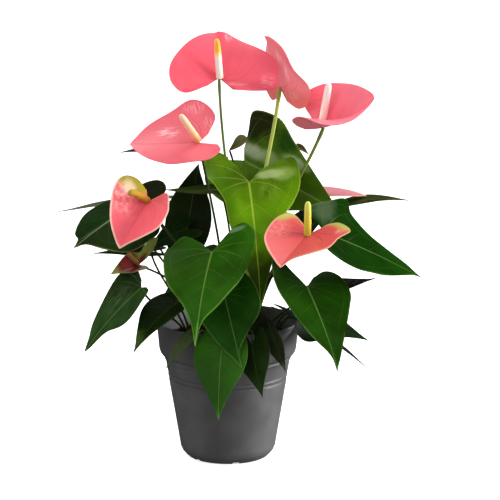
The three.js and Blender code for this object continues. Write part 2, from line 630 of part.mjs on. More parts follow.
addBloom('bloom_right_low', {
  root: [-50, 24], junction: [76, -72, 234], tip: [50, -122, 213], width: 82,
  facing: [-0.1, -0.37, 0.93], arch: 6, fold: 12, close: 9, twist: -5, cup: -0.04, stalkRadius: 1.4,
  spadixEnd: [76, -82, 268], arrive: [0.3, -0.75, 0.6],
  left: [
    [0.26, -0.37], [0.53, -0.43], [0.98, -0.2], [0.88, 0.08], [0.87, 0.45], [0.58, 0.64], [0.16, 0.79],
  ],
  right: [
    [0.29, -0.26], [0.71, -0.45], [0.92, -0.26], [0.94, 0.05], [0.83, 0.4], [0.58, 0.66], [0.21, 0.9],
  ],
}, { spadix: finish.goldSpadix });
addBloom('bloom_far_right', {
  root: [12, 20], junction: [90, 50, 252], tip: [137, 54, 248.5], width: 34, facing: [0, -0.12, 1],
  arch: 16, fold: 6, stalkRadius: 1.2, spadixEnd: [89, 56, 264], spadixRadius: 2.6,
});
addBloom('bloom_bud_left', {
  root: [190, 18], junction: [-85, -44, 199], tip: [-111, -56, 193], width: 34,
  facing: [-0.2, -0.75, 0.6], arch: 14, fold: 22, stalkRadius: 1.1, spadixEnd: [-95, -50, 212],
  spadixRadius: 2.2, arrive: [-0.9, -0.25, 0.35],
  left: [[0.16, -0.21], [0.42, -0.25], [0.5, -0.1], [0.5, 0.1], [0.48, 0.35], [0.3, 0.6], [0.1, 0.85]],
  right: [
    [0.31, -0.37], [0.94, -0.79], [1.48, -0.96], [1.16, -0.48], [0.73, -0.18], [0.83, 0.22], [0.36, 0.7],
  ],
});

addPiece('soil', soilSolid(stalkHoles), finish.soil);

export default part;
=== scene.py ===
import json
import math
import random

import bmesh
import bpy
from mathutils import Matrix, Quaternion, Vector, noise

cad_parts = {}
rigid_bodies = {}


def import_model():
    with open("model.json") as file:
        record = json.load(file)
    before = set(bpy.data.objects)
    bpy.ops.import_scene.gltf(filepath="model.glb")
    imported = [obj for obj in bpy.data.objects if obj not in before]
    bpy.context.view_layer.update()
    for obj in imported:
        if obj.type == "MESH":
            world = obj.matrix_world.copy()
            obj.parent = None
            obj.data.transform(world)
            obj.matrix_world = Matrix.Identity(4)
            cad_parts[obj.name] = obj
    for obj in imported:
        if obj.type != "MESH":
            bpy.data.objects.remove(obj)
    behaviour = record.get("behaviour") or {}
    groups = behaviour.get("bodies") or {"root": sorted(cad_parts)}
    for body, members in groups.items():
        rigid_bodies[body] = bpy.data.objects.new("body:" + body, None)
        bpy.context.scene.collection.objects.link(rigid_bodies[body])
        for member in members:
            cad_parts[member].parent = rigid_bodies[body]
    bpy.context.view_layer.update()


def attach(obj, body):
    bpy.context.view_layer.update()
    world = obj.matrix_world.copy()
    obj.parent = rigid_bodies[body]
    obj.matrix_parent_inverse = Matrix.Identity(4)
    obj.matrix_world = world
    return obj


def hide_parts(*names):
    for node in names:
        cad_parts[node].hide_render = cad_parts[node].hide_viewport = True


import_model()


# Shader nodes: sums are written as Python expressions on the sockets.

class Wire:
    def __init__(self, finish, socket):
        self.finish = finish
        self.socket = socket

    def maths(self, operation, *values):
        return self.finish.node("ShaderNodeMath", dict(operation=operation), dict(enumerate(values)))

    def __add__(self, other):
        return self.maths("ADD", self, other)

    def __sub__(self, other):
        return self.maths("SUBTRACT", self, other)

    def __rsub__(self, other):
        return self.maths("SUBTRACT", other, self)

    def __mul__(self, other):
        return self.maths("MULTIPLY", self, other)

    def __truediv__(self, other):
        return self.maths("DIVIDE", self, other)

    def __pow__(self, other):
        return self.maths("POWER", self, other)

    def __gt__(self, other):
        return self.maths("GREATER_THAN", self, other)

    def __abs__(self):
        return self.maths("ABSOLUTE", self)

    __radd__ = __add__
    __rmul__ = __mul__

    def larger(self, other):
        return self.maths("MAXIMUM", self, other)

    def fraction(self):
        return self.maths("FRACT", self)

    # 0 below low, 1 above high, smooth between
    def rise(self, low, high):
        return self.finish.node(
            "ShaderNodeMapRange", dict(interpolation_type="SMOOTHSTEP"),
            {"Value": self, "From Min": low, "From Max": high},
        )


class Finish:
    def __init__(self, name, **sockets):
        self.material = bpy.data.materials.new(name)
        self.material.use_nodes = True
        self.tree = self.material.node_tree
        self.shader = self.tree.nodes["Principled BSDF"]
        for socket, value in sockets.items():
            self.set(socket.replace("_", " "), value)

    def node(self, kind, settings=None, inputs=None, output=0):
        made = self.tree.nodes.new(kind)
        for key, value in (settings or {}).items():
            if key == "stops":
                ramp = made.color_ramp.elements
                while len(ramp) < len(value):
                    ramp.new(0.5)
                for stop, (place, colour) in zip(ramp, value):
                    stop.position = place
                    stop.color = colour
            else:
                setattr(made, key, value)
        for key, value in (inputs or {}).items():
            self.join(made.inputs[key], value)
        return Wire(self, made.outputs[output])

    def join(self, socket, value):
        if isinstance(value, Wire):
            self.tree.links.new(value.socket, socket)
        else:
            socket.default_value = value

    def set(self, socket, value):
        self.join(self.shader.inputs[socket], value)

    # the three numbers that a blade, stalk or spike keeps at each of its points
    def spot(self):
        split = self.node("ShaderNodeSeparateXYZ", None, {
            "Vector": self.node("ShaderNodeAttribute", dict(attribute_name="spot"), output="Vector"),
        })
        parts = split.socket.node.outputs
        return [Wire(self, parts[i]) for i in range(3)]

    def grain(self, scale, detail=3.0, where=None, roughness=0.5):
        where = where or self.node("ShaderNodeTexCoord", output="Object")
        return self.node("ShaderNodeTexNoise", None, {
            "Vector": where, "Scale": scale, "Detail": detail, "Roughness": roughness,
        })

    # the colour sockets of a Mix node are found by their numbers
    def blend(self, amount, first, second):
        return self.node("ShaderNodeMix", dict(data_type="RGBA"), {0: amount, 6: first, 7: second}, 2)

    def ramp(self, value, stops):
        return self.node("ShaderNodeValToRGB", dict(stops=stops), {"Fac": value})

    def bump(self, height, strength, distance):
        self.set("Normal", self.node("ShaderNodeBump", None, {
            "Height": height, "Strength": strength, "Distance": distance,
        }, "Normal"))


# a colour as it is seen, given as six hexadecimal digits
def paint(digits):
    seen = [int(digits[i:i + 2], 16) / 255 for i in (0, 2, 4)]
    return tuple(c / 12.92 if c < 0.04045 else ((c + 0.055) / 1.055) ** 2.4 for c in seen) + (1.0,)


def shade(colour, factor):
    return tuple(min(1.0, c * factor) for c in colour[:3]) + (1.0,)


def addMesh(name, points, faces, materials, keeps=None, smooth=True):
    mesh = bpy.data.meshes.new(name)
    mesh.from_pydata([tuple(p) for p in points], [], faces)
    mesh.update()
    for key, values in (keeps or {}).items():
        layer = mesh.attributes.new(key, "FLOAT_VECTOR", "POINT")
        layer.data.foreach_set("vector", [c for value in values for c in value])
    if smooth:
        mesh.shade_smooth()
    for material in materials:
        mesh.materials.append(material)
    piece = bpy.data.objects.new(name, mesh)
    bpy.context.scene.collection.objects.link(piece)
    return piece


# a piece of the plant that stands for its node of the same name
def standFor(piece, node):
    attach(piece, "root")
    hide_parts(node)


def applyModifiers(piece):
    graph = bpy.context.evaluated_depsgraph_get()
    piece.data = bpy.data.meshes.new_from_object(piece.evaluated_get(graph))
    piece.modifiers.clear()


# Pot: one moulding with a collar, a ledge under it, turned grooves, drain holes and notches.

pot = dict(
    rimRadius=0.070, height=0.136, wall=0.0018, collarDrop=0.035, collarRadius=0.068,
    bodyTopRadius=0.0614, bodyFootRadius=0.047, footRadius=0.040, footRise=0.013,
    grooves=(0.0835, 0.0785), grooveDepth=0.0007, grooveLip=0.0012, grooveBead=0.00025,
    channel=0.0026, channelRing=(0.024, 0.026, 0.034, 0.0355), edge=0.0005, sides=180,
    drainHoles=6, drainRadius=0.0035, drainRing=0.030, drainDepth=0.012, drainMiddle=0.004,
    notchTurn=-78, notchRing=0.038, notchDepth=0.012, notchWidth=0.007, notchHeight=0.0024, notchSink=0.0004,
    grey="4a4a4b", dust="8c8a86", rough=0.33, gloss=0.8,
)
# steps outwards and upwards from the foot ring, the body's foot, its top, the collar's foot and the rim
footRing = [(-0.0012, 0), (0, 0.0009)]
footCurve = [(-0.0046, 0.0031), (-0.0018, 0.0066), (-0.0003, 0.0104)]
ledge = [(-0.0003, -0.0036), (0.0006, -0.0028), (0.0006, -0.0004), (0.0004, 0)]
cove = [(-0.0035, 0.0018), (-0.0016, 0.0045), (-0.0006, 0.0085)]
rim = [(-0.0004, -0.0025), (0, -0.0016), (-0.0006, 0)]


def potMaterial():
    plastic = Finish("potPlastic", Specular_IOR_Level=pot["gloss"])
    speckle, cloud = plastic.grain(900, 2.0), plastic.grain(38, 4.0)
    grey = paint(pot["grey"])
    base = plastic.blend(cloud.rise(0.35, 0.7), shade(grey, 0.9), shade(grey, 1.12))
    plastic.set("Base Color", plastic.blend(speckle.rise(0.62, 0.8) * 0.12, base, paint(pot["dust"])))
    plastic.set("Roughness", pot["rough"] + cloud * 0.12 + speckle * 0.05)
    plastic.bump(speckle + cloud * 0.6, 0.12, 0.0004)
    return plastic.material


def bodyRadius(z):
    collarFoot = pot["height"] - pot["collarDrop"]
    share = (z - pot["footRise"]) / (collarFoot - pot["footRise"])
    return pot["bodyFootRadius"] + (pot["bodyTopRadius"] - pot["bodyFootRadius"]) * share


def stepped(radius, z, steps):
    return [(radius + out, z + up) for out, up in steps]


# a round groove between two fine beads
def grooveProfile(z):
    lip, bead, deep = pot["grooveLip"], pot["grooveBead"], pot["grooveDepth"]
    half = [(bead, -1), (-deep * 0.35, -0.6), (-deep * 0.9, -0.25)]
    steps = [*half, (-deep, 0), *[(out, -up) for out, up in half[::-1]]]
    return stepped(bodyRadius(z), z, [(out, lip * up) for out, up in steps])


# the inside of the wall from the bottom up, kept back by the clearance
def insideProfile(clearance):
    inset = pot["wall"] + clearance
    collarFoot = pot["height"] - pot["collarDrop"]
    return [
        (pot["footRadius"] - 0.0015 - clearance, pot["channel"] + pot["wall"] + clearance),
        (pot["bodyFootRadius"] - inset, pot["footRise"] + 0.001),
        (pot["bodyTopRadius"] - inset, collarFoot - 0.001),
        (pot["collarRadius"] - inset, collarFoot + 0.008),
    ]


# a profile of (radius, height) turned about the z axis; points on the axis close it
def turned(profile, sides):
    points, faces, rings = [], [], []
    for r, z in profile:
        if r == 0:
            rings.append([len(points)] * sides)
            points.append((0, 0, z))
        else:
            rings.append([len(points) + i for i in range(sides)])
            for i in range(sides):
                turn = 2 * math.pi * i / sides
                points.append((r * math.cos(turn), r * math.sin(turn), z))
    for low, high in zip(rings, rings[1:]):
        for i in range(sides):
            after = (i + 1) % sides
            faces.append(list(dict.fromkeys([low[i], low[after], high[after], high[i]])))
    return points, faces


def rounded(profile, radius, steps):
    eased = [profile[0]]
    for before, here, after in zip(profile, profile[1:], profile[2:]):
        a, b, c = (Vector((*p, 0)) for p in (before, here, after))
        cut = min(radius, (a - b).length * 0.4, (c - b).length * 0.4)
        start, end = b + (a - b).normalized() * cut, b + (c - b).normalized() * cut
        for i in range(steps + 1):
            t = i / steps
            p = start * (1 - t) ** 2 + b * 2 * t * (1 - t) + end * t * t
            eased.append((p.x, p.y))
    return eased + [profile[-1]]


def makePot():
    top, rimRadius = pot["height"], pot["rimRadius"]
    collarFoot, channel, (a, b, c, d) = top - pot["collarDrop"], pot["channel"], pot["channelRing"]
    outside = [
        (0, 0), (a, 0), (b, channel), (c, channel), (d, 0),
        *stepped(pot["footRadius"], 0, footRing), *stepped(pot["bodyFootRadius"], 0, footCurve),
        *[p for z in reversed(pot["grooves"]) for p in grooveProfile(z)],
        *stepped(pot["bodyTopRadius"], collarFoot, ledge), *stepped(pot["collarRadius"], collarFoot, cove),
        *stepped(rimRadius, top, rim),
    ]
    inside = [
        (0, channel + pot["wall"]), *insideProfile(0),
        *stepped(rimRadius - pot["wall"], top, [(-0.0008, -0.002), (-0.0002, 0)]),
    ]
    points, faces = turned(rounded(outside + inside[::-1], pot["edge"], 3), pot["sides"])
    body = addMesh("potBody", points, faces, [potMaterial()])

    shape = bmesh.new()
    drain, notchHeight = pot["drainRadius"], pot["notchHeight"]
    for i in range(pot["drainHoles"]):
        turn = 2 * math.pi * i / pot["drainHoles"]
        spin = Quaternion((0, 0, 1), turn)
        hole = bmesh.ops.create_cone(
            shape, cap_ends=True, segments=28, radius1=drain, radius2=drain, depth=pot["drainDepth"],
        )["verts"]
        bmesh.ops.translate(shape, verts=hole, vec=spin @ Vector((pot["drainRing"], 0, pot["drainMiddle"])))
        notch = bmesh.ops.create_cube(shape, size=1)["verts"]
        bmesh.ops.scale(shape, verts=notch, vec=(pot["notchDepth"], pot["notchWidth"], notchHeight))
        low = notchHeight / 2 - pot["notchSink"]
        bmesh.ops.translate(shape, verts=notch, vec=(pot["notchRing"], 0, low))
        spin = Quaternion((0, 0, 1), turn + math.radians(pot["notchTurn"]))
        bmesh.ops.rotate(shape, verts=notch, cent=(0, 0, 0), matrix=spin.to_matrix())
    cutterMesh = bpy.data.meshes.new("drainCutter")
    shape.to_mesh(cutterMesh)
    shape.free()
    cutter = bpy.data.objects.new("drainCutter", cutterMesh)
    bpy.context.scene.collection.objects.link(cutter)
    cut = body.modifiers.new("drains", "BOOLEAN")
    cut.operation, cut.object, cut.solver = "DIFFERENCE", cutter, "EXACT"
    applyModifiers(body)
    bpy.data.objects.remove(cutter)
    body.data.set_sharp_from_angle(angle=math.radians(40))
    standFor(body, "pot")


soil = dict(
    top=0.115, dome=0.002, domeRings=12, rings=44, sides=150, rootDepth=0.012, gap=0.0003,
    lumps=0.0024, lumpGrain=150, grit=0.0012, gritGrain=700, peat=("0e0b09", "2c231c"),
    crumbs=1500, crumbSize=(0.0006, 0.0021), crumbSpread=0.97, seed=11, bark=("1c1510", "4a3a2c"),
)


def soilMaterial(name, dark, light):
    peat = Finish(name, Roughness=0.95, Specular_IOR_Level=0.2)
    clods = peat.grain(420, 6.0, roughness=0.7)
    fibre = peat.grain(1500, 3.0)
    peat.set("Base Color", peat.blend(clods.rise(0.4, 0.68), paint(dark), paint(light)))
    peat.bump(clods * 0.7 + fibre * 0.3, 0.9, 0.0012)
    return peat.material


def makeSoil():
    draw = random.Random(soil["seed"])
    shape = insideProfile(soil["gap"])
    shoulder = shape[-1][0] + 0.0002
    top, dome, rings = soil["top"], soil["dome"], soil["rings"]
    profile = [(0, pot["channel"] + pot["wall"] + soil["gap"]), *shape, (shoulder, top - 0.001)]
    profile += [(shoulder * (1 - i / rings), top + dome * min(1, i / soil["domeRings"]))
                for i in range(1, rings)]
    points, faces = turned(profile + [(0, top + dome)], soil["sides"])
    points = [Vector(p) for p in points]
    for p in points:
        if p.z > top - 0.0005:
            lump = soil["lumps"] * noise.fractal(p * soil["lumpGrain"], 1.0, 2.0, 4)
            p.z += lump + soil["grit"] * noise.noise(p * soil["gritGrain"])
    # loose crumbs of bark and peat on the surface
    grain = bmesh.new()
    bmesh.ops.create_icosphere(grain, subdivisions=1, radius=1)
    grain.verts.ensure_lookup_table()
    corners = [v.co.copy() for v in grain.verts]
    sides = [[v.index for v in f.verts] for f in grain.faces]
    grain.free()
    plain = len(faces)
    for _ in range(soil["crumbs"]):
        r, turn = shoulder * soil["crumbSpread"] * math.sqrt(draw.random()), draw.uniform(0, 2 * math.pi)
        size = draw.uniform(*soil["crumbSize"])
        spin = Quaternion([draw.gauss(0, 1) for _ in range(4)]).normalized()
        squash = Vector((draw.uniform(0.6, 1.5), draw.uniform(0.4, 0.9), draw.uniform(0.4, 0.9)))
        centre = Vector((r * math.cos(turn), r * math.sin(turn), top + dome + draw.uniform(-0.0004, 0.0012)))
        start = len(points)
        for c in corners:
            rough = 1 + draw.uniform(-0.25, 0.25)
            points.append(centre + spin @ Vector(c[i] * squash[i] * size * rough for i in range(3)))
        faces += [[start + i for i in side] for side in sides]
    skins = [soilMaterial("peat", *soil["peat"]), soilMaterial("bark", *soil["bark"])]
    filling = addMesh("pottingSoil", points, faces, skins)
    for face in filling.data.polygons[plain:]:
        face.material_index = 1
    standFor(filling, "soil")


# Blades and spathes: a fan of rays from the junction with the stalk, bent along the midrib.

# half outlines from the notch round the lobe, in percent of half the width and of the length to the tip
leafOutline = [(26, -15), (60, -29), (90, -13), (100, 12), (84, 36), (46, 62), (13, 86)]
spatheOutline = [(20, -22), (57, -31), (93, -16), (100, 8), (87, 39), (60, 67), (21, 90)]
bluntOutline = [(26, -10), (60, -10), (85, 10), (100, 35), (98, 60), (80, 82), (42, 96)]
dripTip = (0, 100)
blade = dict(
    thickness=0.0007, raysPerPoint=6, rings=15, ringSpread=0.9, midribRound=0.05,
    ripple=0.0009, rippleGrain=34,
)
# what a leaf or a bloom has where its own list says nothing else
usualBlade = dict(close=0, twist=0, cup=0, wave=0, waves=5, marks=[])
# leaves default to the dark green, which is painted shade
usualLeaf = dict(left=leafOutline, right=leafOutline, green="dark", vary=0.3, veins=1, stalkRadius=0.0011)
usualBloom = dict(
    left=spatheOutline, right=spatheOutline, stalkGreen="dark", spike="cream", spadixRadius=0.0034,
)


class Shape:
    def __init__(self):
        self.points, self.faces, self.slots, self.spots = [], [], [], []

    def add(self, points, faces, slots, spots):
        start = len(self.points)
        self.points += points
        self.faces += [[start + i for i in face] for face in faces]
        self.slots += slots if isinstance(slots, list) else [slots] * len(faces)
        self.spots += spots

    def piece(self, name, materials):
        made = addMesh(name, self.points, self.faces, materials, {"spot": self.spots})
        made.data.polygons.foreach_set("material_index", self.slots)
        made.data.set_sharp_from_angle(angle=math.radians(55))
        return made


# along the blade, out of its face and across it, and the length from junction to tip
def bladeAxes(spec):
    along = Vector(spec["tip"]) - Vector(spec["junction"])
    chord = along.length
    along.normalize()
    face = Vector(spec["facing"])
    face = (face - along * face.dot(along)).normalized()
    return along, face, along.cross(face), chord


# reach goes from the junction out to the margin, and turn from one side of the notch round to the other
def bladePoint(axes, spec, side, share, reach, turn):
    along, face, across, chord = axes
    bend = math.radians(spec["arch"])
    length = chord * bend / 2 / math.sin(bend / 2)
    run = reach * share * length
    curl = (math.radians(spec.get("lobes", spec["arch"])) if run < 0 else bend) / length
    slope = bend / 2 - curl * run
    forward = (math.sin(bend / 2) - math.sin(slope)) / curl
    rise = (math.cos(slope) - math.cos(bend / 2)) / curl
    toTip = max(0, run / length)
    half, offset = spec["width"] / 2, side * reach
    soft = blade["midribRound"] * reach
    away = math.hypot(offset, soft) - soft
    opening = math.radians(spec["fold"] + spec["close"] * toTip ** 2)
    lift = half * (away * math.sin(opening) + spec["cup"] * offset ** 2)
    lift += spec["wave"] * math.sin(spec["waves"] * math.pi * turn) * reach ** 3
    sideways = half * offset * math.cos(opening)
    twist = math.radians(spec["twist"]) * toTip
    normal = face * math.cos(slope) - along * math.sin(slope)
    outward = across * math.cos(twist) + normal * math.sin(twist)
    upward = normal * math.cos(twist) - across * math.sin(twist)
    point = Vector(spec["junction"]) + along * forward + face * rise + outward * sideways + upward * lift
    ripple = noise.noise(point * blade["rippleGrain"]) * blade["ripple"] * reach ** 1.5
    return point + upward * ripple


# a smooth curve through a half outline, with the turn that each point has in the fan
def smoothHalf(half):
    corners = [(side / 100, share / 100) for side, share in [*half, dripTip]]
    before, after = ([2 * p[i] - q[i] for i in (0, 1)] for p, q in (corners[:2], corners[:-3:-1]))
    line = [before, *corners, after]
    steps, last = blade["raysPerPoint"], len(corners) - 1
    curve = []
    for k in range(last):
        for step in range(steps):
            t = step / steps
            side, share = (
                0.5 * (2 * b + (c - a) * t + (2 * a - 5 * b + 4 * c - d) * t ** 2
                       + (3 * b - a - 3 * c + d) * t ** 3)
                for a, b, c, d in zip(*line[k:k + 4])
            )
            curve.append((side, share, 1 - (k + t) / last))
    return curve


def bladeRays(spec):
    left = [(-side, share, -turn) for side, share, turn in smoothHalf(spec["left"])]
    return left + [(0, 1, 0)] + smoothHalf(spec["right"])[::-1]


# a sheet made solid: its upper face in the first slot, its underside in the second
def thickened(points, faces, thickness):
    normals = [Vector() for _ in points]
    for face in faces:
        a, b, c = (points[i] for i in face[:3])
        tilt = (b - a).cross(c - a)
        for i in face:
            normals[i] += tilt
    lift = [n.normalized() * thickness / 2 for n in normals]
    count = len(points)
    solid = [p + n for p, n in zip(points, lift)] + [p - n for p, n in zip(points, lift)]
    edges = {(face[i], face[(i + 1) % len(face)]) for face in faces for i in range(len(face))}
    walls = [[b, a, a + count, b + count] for a, b in sorted(edges) if (b, a) not in edges]
    under = [[i + count for i in reversed(face)] for face in faces]
    return solid, faces + under + walls, [0] * len(faces) + [1] * len(faces) + [0] * len(walls)


def addBlade(shape, spec):
    axes = bladeAxes(spec)
    stretch = spec["width"] / 2 / axes[3]
    rays, rings = bladeRays(spec), blade["rings"]
    points, spots = [Vector(spec["junction"])], [(0, 0, 0)]
    for side, share, turn in rays:
        for ring in range(1, rings + 1):
            reach = (ring / rings) ** blade["ringSpread"]
            points.append(bladePoint(axes, spec, side, share, reach, turn))
            spots.append((side * reach * stretch, share * reach, reach))
    faces = []
    for i in range(len(rays) - 1):
        a, b = 1 + i * rings, 1 + (i + 1) * rings
        faces.append([0, b, a])
        faces += [[a + k, b + k, b + k + 1, a + k + 1] for k in range(rings - 1)]
    shape.add(*thickened(points, faces, blade["thickness"]), spots * 2)


# Stalks: the same curves as the solids, upright out of the soil.

stalk = dict(
    sides=12, steps=30, upright=0.42, arrival=0.3, lean=0.5, lift=0.8, aboveSoil=0.006,
    slim=0.96, sheath=0.35, sheathShare=0.12, collar=0.28, collarAt=0.965, collarSpread=0.022,
)


def rootPlace(root):
    turn = math.radians(root[0])
    return Vector((root[1] * math.cos(turn), root[1] * math.sin(turn), soil["top"] - soil["rootDepth"]))


# one smooth bend from the soil to the junction, or a curve through the places that it has to pass
def stalkPath(spec):
    start, end, steps = rootPlace(spec["root"]), Vector(spec["junction"]), stalk["steps"]
    if "via" in spec:
        out = Vector((start.x, start.y, soil["top"] + stalk["aboveSoil"]))
        knots = [start, out, *map(Vector, spec["via"]), end]
        knots = [knots[0] * 2 - knots[1], *knots, knots[-1] * 2 - knots[-2]]
        path = []
        for k in range(len(knots) - 3):
            a, b, c, d = knots[k:k + 4]
            ab, bc, cd = ((q - p).length ** 0.5 for p, q in ((a, b), (b, c), (c, d)))
            leave = ((b - a) / ab - (c - a) / (ab + bc) + (c - b) / bc) * bc
            arrive = ((c - b) / bc - (d - b) / (bc + cd) + (d - c) / cd) * bc
            for s in range(steps // 3):
                t = s / (steps // 3)
                path.append(b * (2 * t ** 3 - 3 * t ** 2 + 1) + leave * (t ** 3 - 2 * t ** 2 + t)
                            + c * (3 * t ** 2 - 2 * t ** 3) + arrive * (t ** 3 - t ** 2))
        return path + [end]
    reach = (end - start).length
    outward = Vector((end.x - start.x, end.y - start.y, 0)) * (stalk["lean"] / reach)
    last = Vector(spec["arrive"]) if "arrive" in spec else Vector((outward.x, outward.y, stalk["lift"]))
    first = Vector((start.x, start.y, start.z + reach * stalk["upright"]))
    second = end - last.normalized() * reach * stalk["arrival"]
    return [start * (1 - t) ** 3 + first * 3 * t * (1 - t) ** 2 + second * 3 * t * t * (1 - t) + end * t ** 3
            for t in (i / steps for i in range(steps + 1))]


def tubeFaces(rings, sides):
    faces = []
    for low in range(0, (rings - 1) * sides, sides):
        for i in range(sides):
            after = (i + 1) % sides
            faces.append([low + i, low + after, low + sides + after, low + sides + i])
    return faces + [list(range(sides))[::-1], [(rings - 1) * sides + i for i in range(sides)]]


# thicker where it leaves the soil, and swollen just under the blade
def addStalk(shape, spec, slot):
    path, sides = stalkPath(spec), stalk["sides"]
    points, spots = [], []
    heading = (path[1] - path[0]).normalized()
    out = heading.orthogonal().normalized()
    for k, place in enumerate(path):
        ahead = (path[min(k + 1, len(path) - 1)] - path[max(k - 1, 0)]).normalized()
        out = heading.rotation_difference(ahead) @ out
        heading = ahead
        share = k / (len(path) - 1)
        foot = stalk["sheath"] * max(0, 1 - share / stalk["sheathShare"]) ** 2
        neck = stalk["collar"] * math.exp(-((share - stalk["collarAt"]) / stalk["collarSpread"]) ** 2)
        width = spec["stalkRadius"] * (stalk["slim"] + foot + neck)
        for i in range(sides):
            turn = 2 * math.pi * i / sides
            points.append(place + (Quaternion(heading, turn) @ out) * width)
            spots.append((share, turn, 0))
    shape.add(points, tubeFaces(len(path), sides), slot, spots)


# Leaf, stalk and bloom finishes.

usualGreen = dict(rough=0.3, gloss=0.18)
greens = {
    "bright": dict(top="527a02", vein="b3cc4c", under="5f7f2a", slot="bright_leaf", gloss=0.08),
    "fresh": dict(top="245302", vein="7fa544", under="4d7330", slot="mid_leaf"),
    "deep": dict(top="163a03", vein="6d9145", under="3d5c28", slot="leaf", rough=0.28),
    "olive": dict(top="2a390a", vein="84975a", under="44542c", slot="leaf"),
    # painted shade: the dark green stands for leaves that lie in shade among the others
    "dark": dict(top="142406", vein="41582f", under="24361c", slot="dark_leaf", rough=0.32),
    "young": dict(top="4c4a28", vein="86814f", under="6f6c48", slot="young_leaf", rough=0.35),
}
venation = dict(wander=22, slant=0.75, sweep=0.6, fanBend=1.1, fanStep=0.5, fanFrom=1.25, gather=0.84)


# how near each spot of a blade is to a vein, 1 on it and 0 away from it, and the quilting between veins
def veinMasks(finish, across, along, reach, thick, count):
    side, thin, soft = abs(across), 0.1 * thick, 0.6 * thick
    far = (side * side + along * along) ** 0.5
    wander = finish.grain(venation["wander"], 2.0) * 0.5 - 0.25
    midrib = 1 - (side / (1.15 - along * 0.8)).rise(0.3 * thick, thick)
    # side veins leave the midrib at a slant and sweep towards the tip
    row = (along - side * venation["slant"] - side * side * venation["sweep"]) * count + wander
    nearRow = abs(row.fraction() - 0.5)
    feather = (1 - ((0.5 - nearRow) / count).rise(thin, soft)) * (along > 0.06)
    # the veins of the lobes fan out from the junction and bend forward
    angle = finish.node("ShaderNodeMath", dict(operation="ARCTAN2"), {0: side, 1: along})
    bent = angle + far * venation["fanBend"]
    fan = (bent - 1.0) / venation["fanStep"] + wander
    nearFan = abs(fan.fraction() - 0.5)
    spread = (1 - ((0.5 - nearFan) * far * 0.5).rise(thin, soft)) * (bent > venation["fanFrom"])
    # one vein gathers the others along the margin
    margin = 1 - abs(reach - venation["gather"] + wander * 0.15).rise(0.2 * thick, thick)
    fade = 1 - reach.rise(0.35, 0.95) * 0.75
    return midrib, (feather * 0.6).larger(spread) * fade, margin * (0.6 - along * 0.4), nearRow


# how far the grain of a mark is squeezed across and along: all but the soft ones are broken up by it
markGrain = {"soft": (1, 1), "mottled": (1.8, 1.8), "along": (3.4, 0.7), "across": (0.7, 3.4)}


# painted marks: pale patches that are painted highlights and sheen, dark patches that are painted shade, and
# patches of the blade's own colour: colour, strength, grain, place across and along, half width and half
# length
def paintMarks(finish, ground, across, along, marks):
    grains = {}
    for colour, strength, kind, x, y, wide, long in marks:
        if kind not in grains:
            sideways, lengthways = markGrain[kind]
            where = finish.node("ShaderNodeCombineXYZ", None, {0: across * sideways, 1: along * lengthways})
            grains[kind] = finish.grain(7, 4.0, where, 0.6)
        right, up = (across - x) / wide, (along - y) / long
        mask = 1 - ((right * right + up * up) ** 0.5 + (grains[kind] * 0.9 - 0.45)).rise(0.45, 1.15)
        if kind != "soft":
            mask = mask * grains[kind].rise(0.4, 0.72)
        ground = finish.blend(mask * strength, ground, paint(colour))
    return ground


def leafMaterial(name, spec, under=False):
    look, vary = {**usualGreen, **greens[spec["green"]]}, spec["vary"]
    leaf = Finish(name + ("_under" if under else "_skin"), Specular_IOR_Level=look["gloss"])
    across, along, reach = leaf.spot()
    midrib, veins, margin, quilt = veinMasks(leaf, across, along, reach, thick=0.013, count=5)
    cloud, fine, broad = leaf.grain(24, 4.0), leaf.grain(420, 3.0), leaf.grain(14, 2.0)
    top, vein = paint(look["under"] if under else spec.get("top", look["top"])), paint(look["vein"])
    ground = leaf.blend(cloud.rise(0.3, 0.72), shade(top, 1 - vary), shade(top, 1 + vary))
    # painted sheen: broad patches of the leaf's top lightened, as strongly as vary says; vary also sets the
    # spread of its random tone
    ground = leaf.blend(broad.rise(0.5, 0.72) * vary, ground, shade(top, 2.2))
    ground = leaf.blend(fine.rise(0.5, 0.8) * 0.3, ground, shade(top, 0.75))
    ground = paintMarks(leaf, ground, across, along, [] if under else spec["marks"])
    clear = (veins * 0.2 * spec["veins"]).larger(margin * 0.12).larger(midrib * 0.42)
    ground = leaf.blend(clear, ground, vein)
    rim = reach.rise(0.965, 0.995) * cloud.rise(0.35, 0.6) * 0.4
    leaf.set("Base Color", leaf.blend(rim, ground, vein))
    leaf.set("Roughness", look["rough"] + (0.2 if under else 0) + cloud * 0.16 + veins * 0.08)
    height = quilt * 0.5 - veins * 0.5 - midrib * 0.7 - margin * 0.2 + cloud * 0.8
    leaf.bump(height * (-1.0 if under else 1.0), 0.5, 0.0014)
    return leaf.material


# the usual pink; a bloom's own tint adds what its age brings: pale margins, and lobes that turn green again
usualTint = dict(
    top="f8505f", vein="d9384a", under="ec7480", rough=0.34, veinStrength=0.3, lobeEdge=0.3, lobeSide=0,
)
# the colours of the spikes from foot to tip
spikes = {
    "cream": [(0, "fbdcb8"), (0.25, "fffaf0"), (1, "fffdf8")],
    "tipped": [(0, "fff0da"), (0.3, "fffaf0"), (0.56, "fff4e0"), (0.64, "ffdf70"), (0.72, "ffb41c"),
               (1, "ffb428")],
    "straw": [(0, "e89a5a"), (0.25, "f6cf9c"), (1, "f6dab8")],
    "gold": [(0, "b27a1c"), (0.3, "c2923a"), (1, "a08630")],
    "olive": [(0, "c4b43c"), (0.5, "d4cc4c"), (1, "dce074")],
    "amber": [(0, "6d5020"), (0.5, "7c5f2c"), (1, "86683a")],
}
stalkGreens = {
    "dark": dict(skin="1d2710", streak="39461f", slot="dark_stalk"),
    "moss": dict(skin="4d6618", streak="74883a", slot="dark_stalk"),
    "pale": dict(skin="8fa03c", streak="b4bf66", slot="green_stalk"),
}


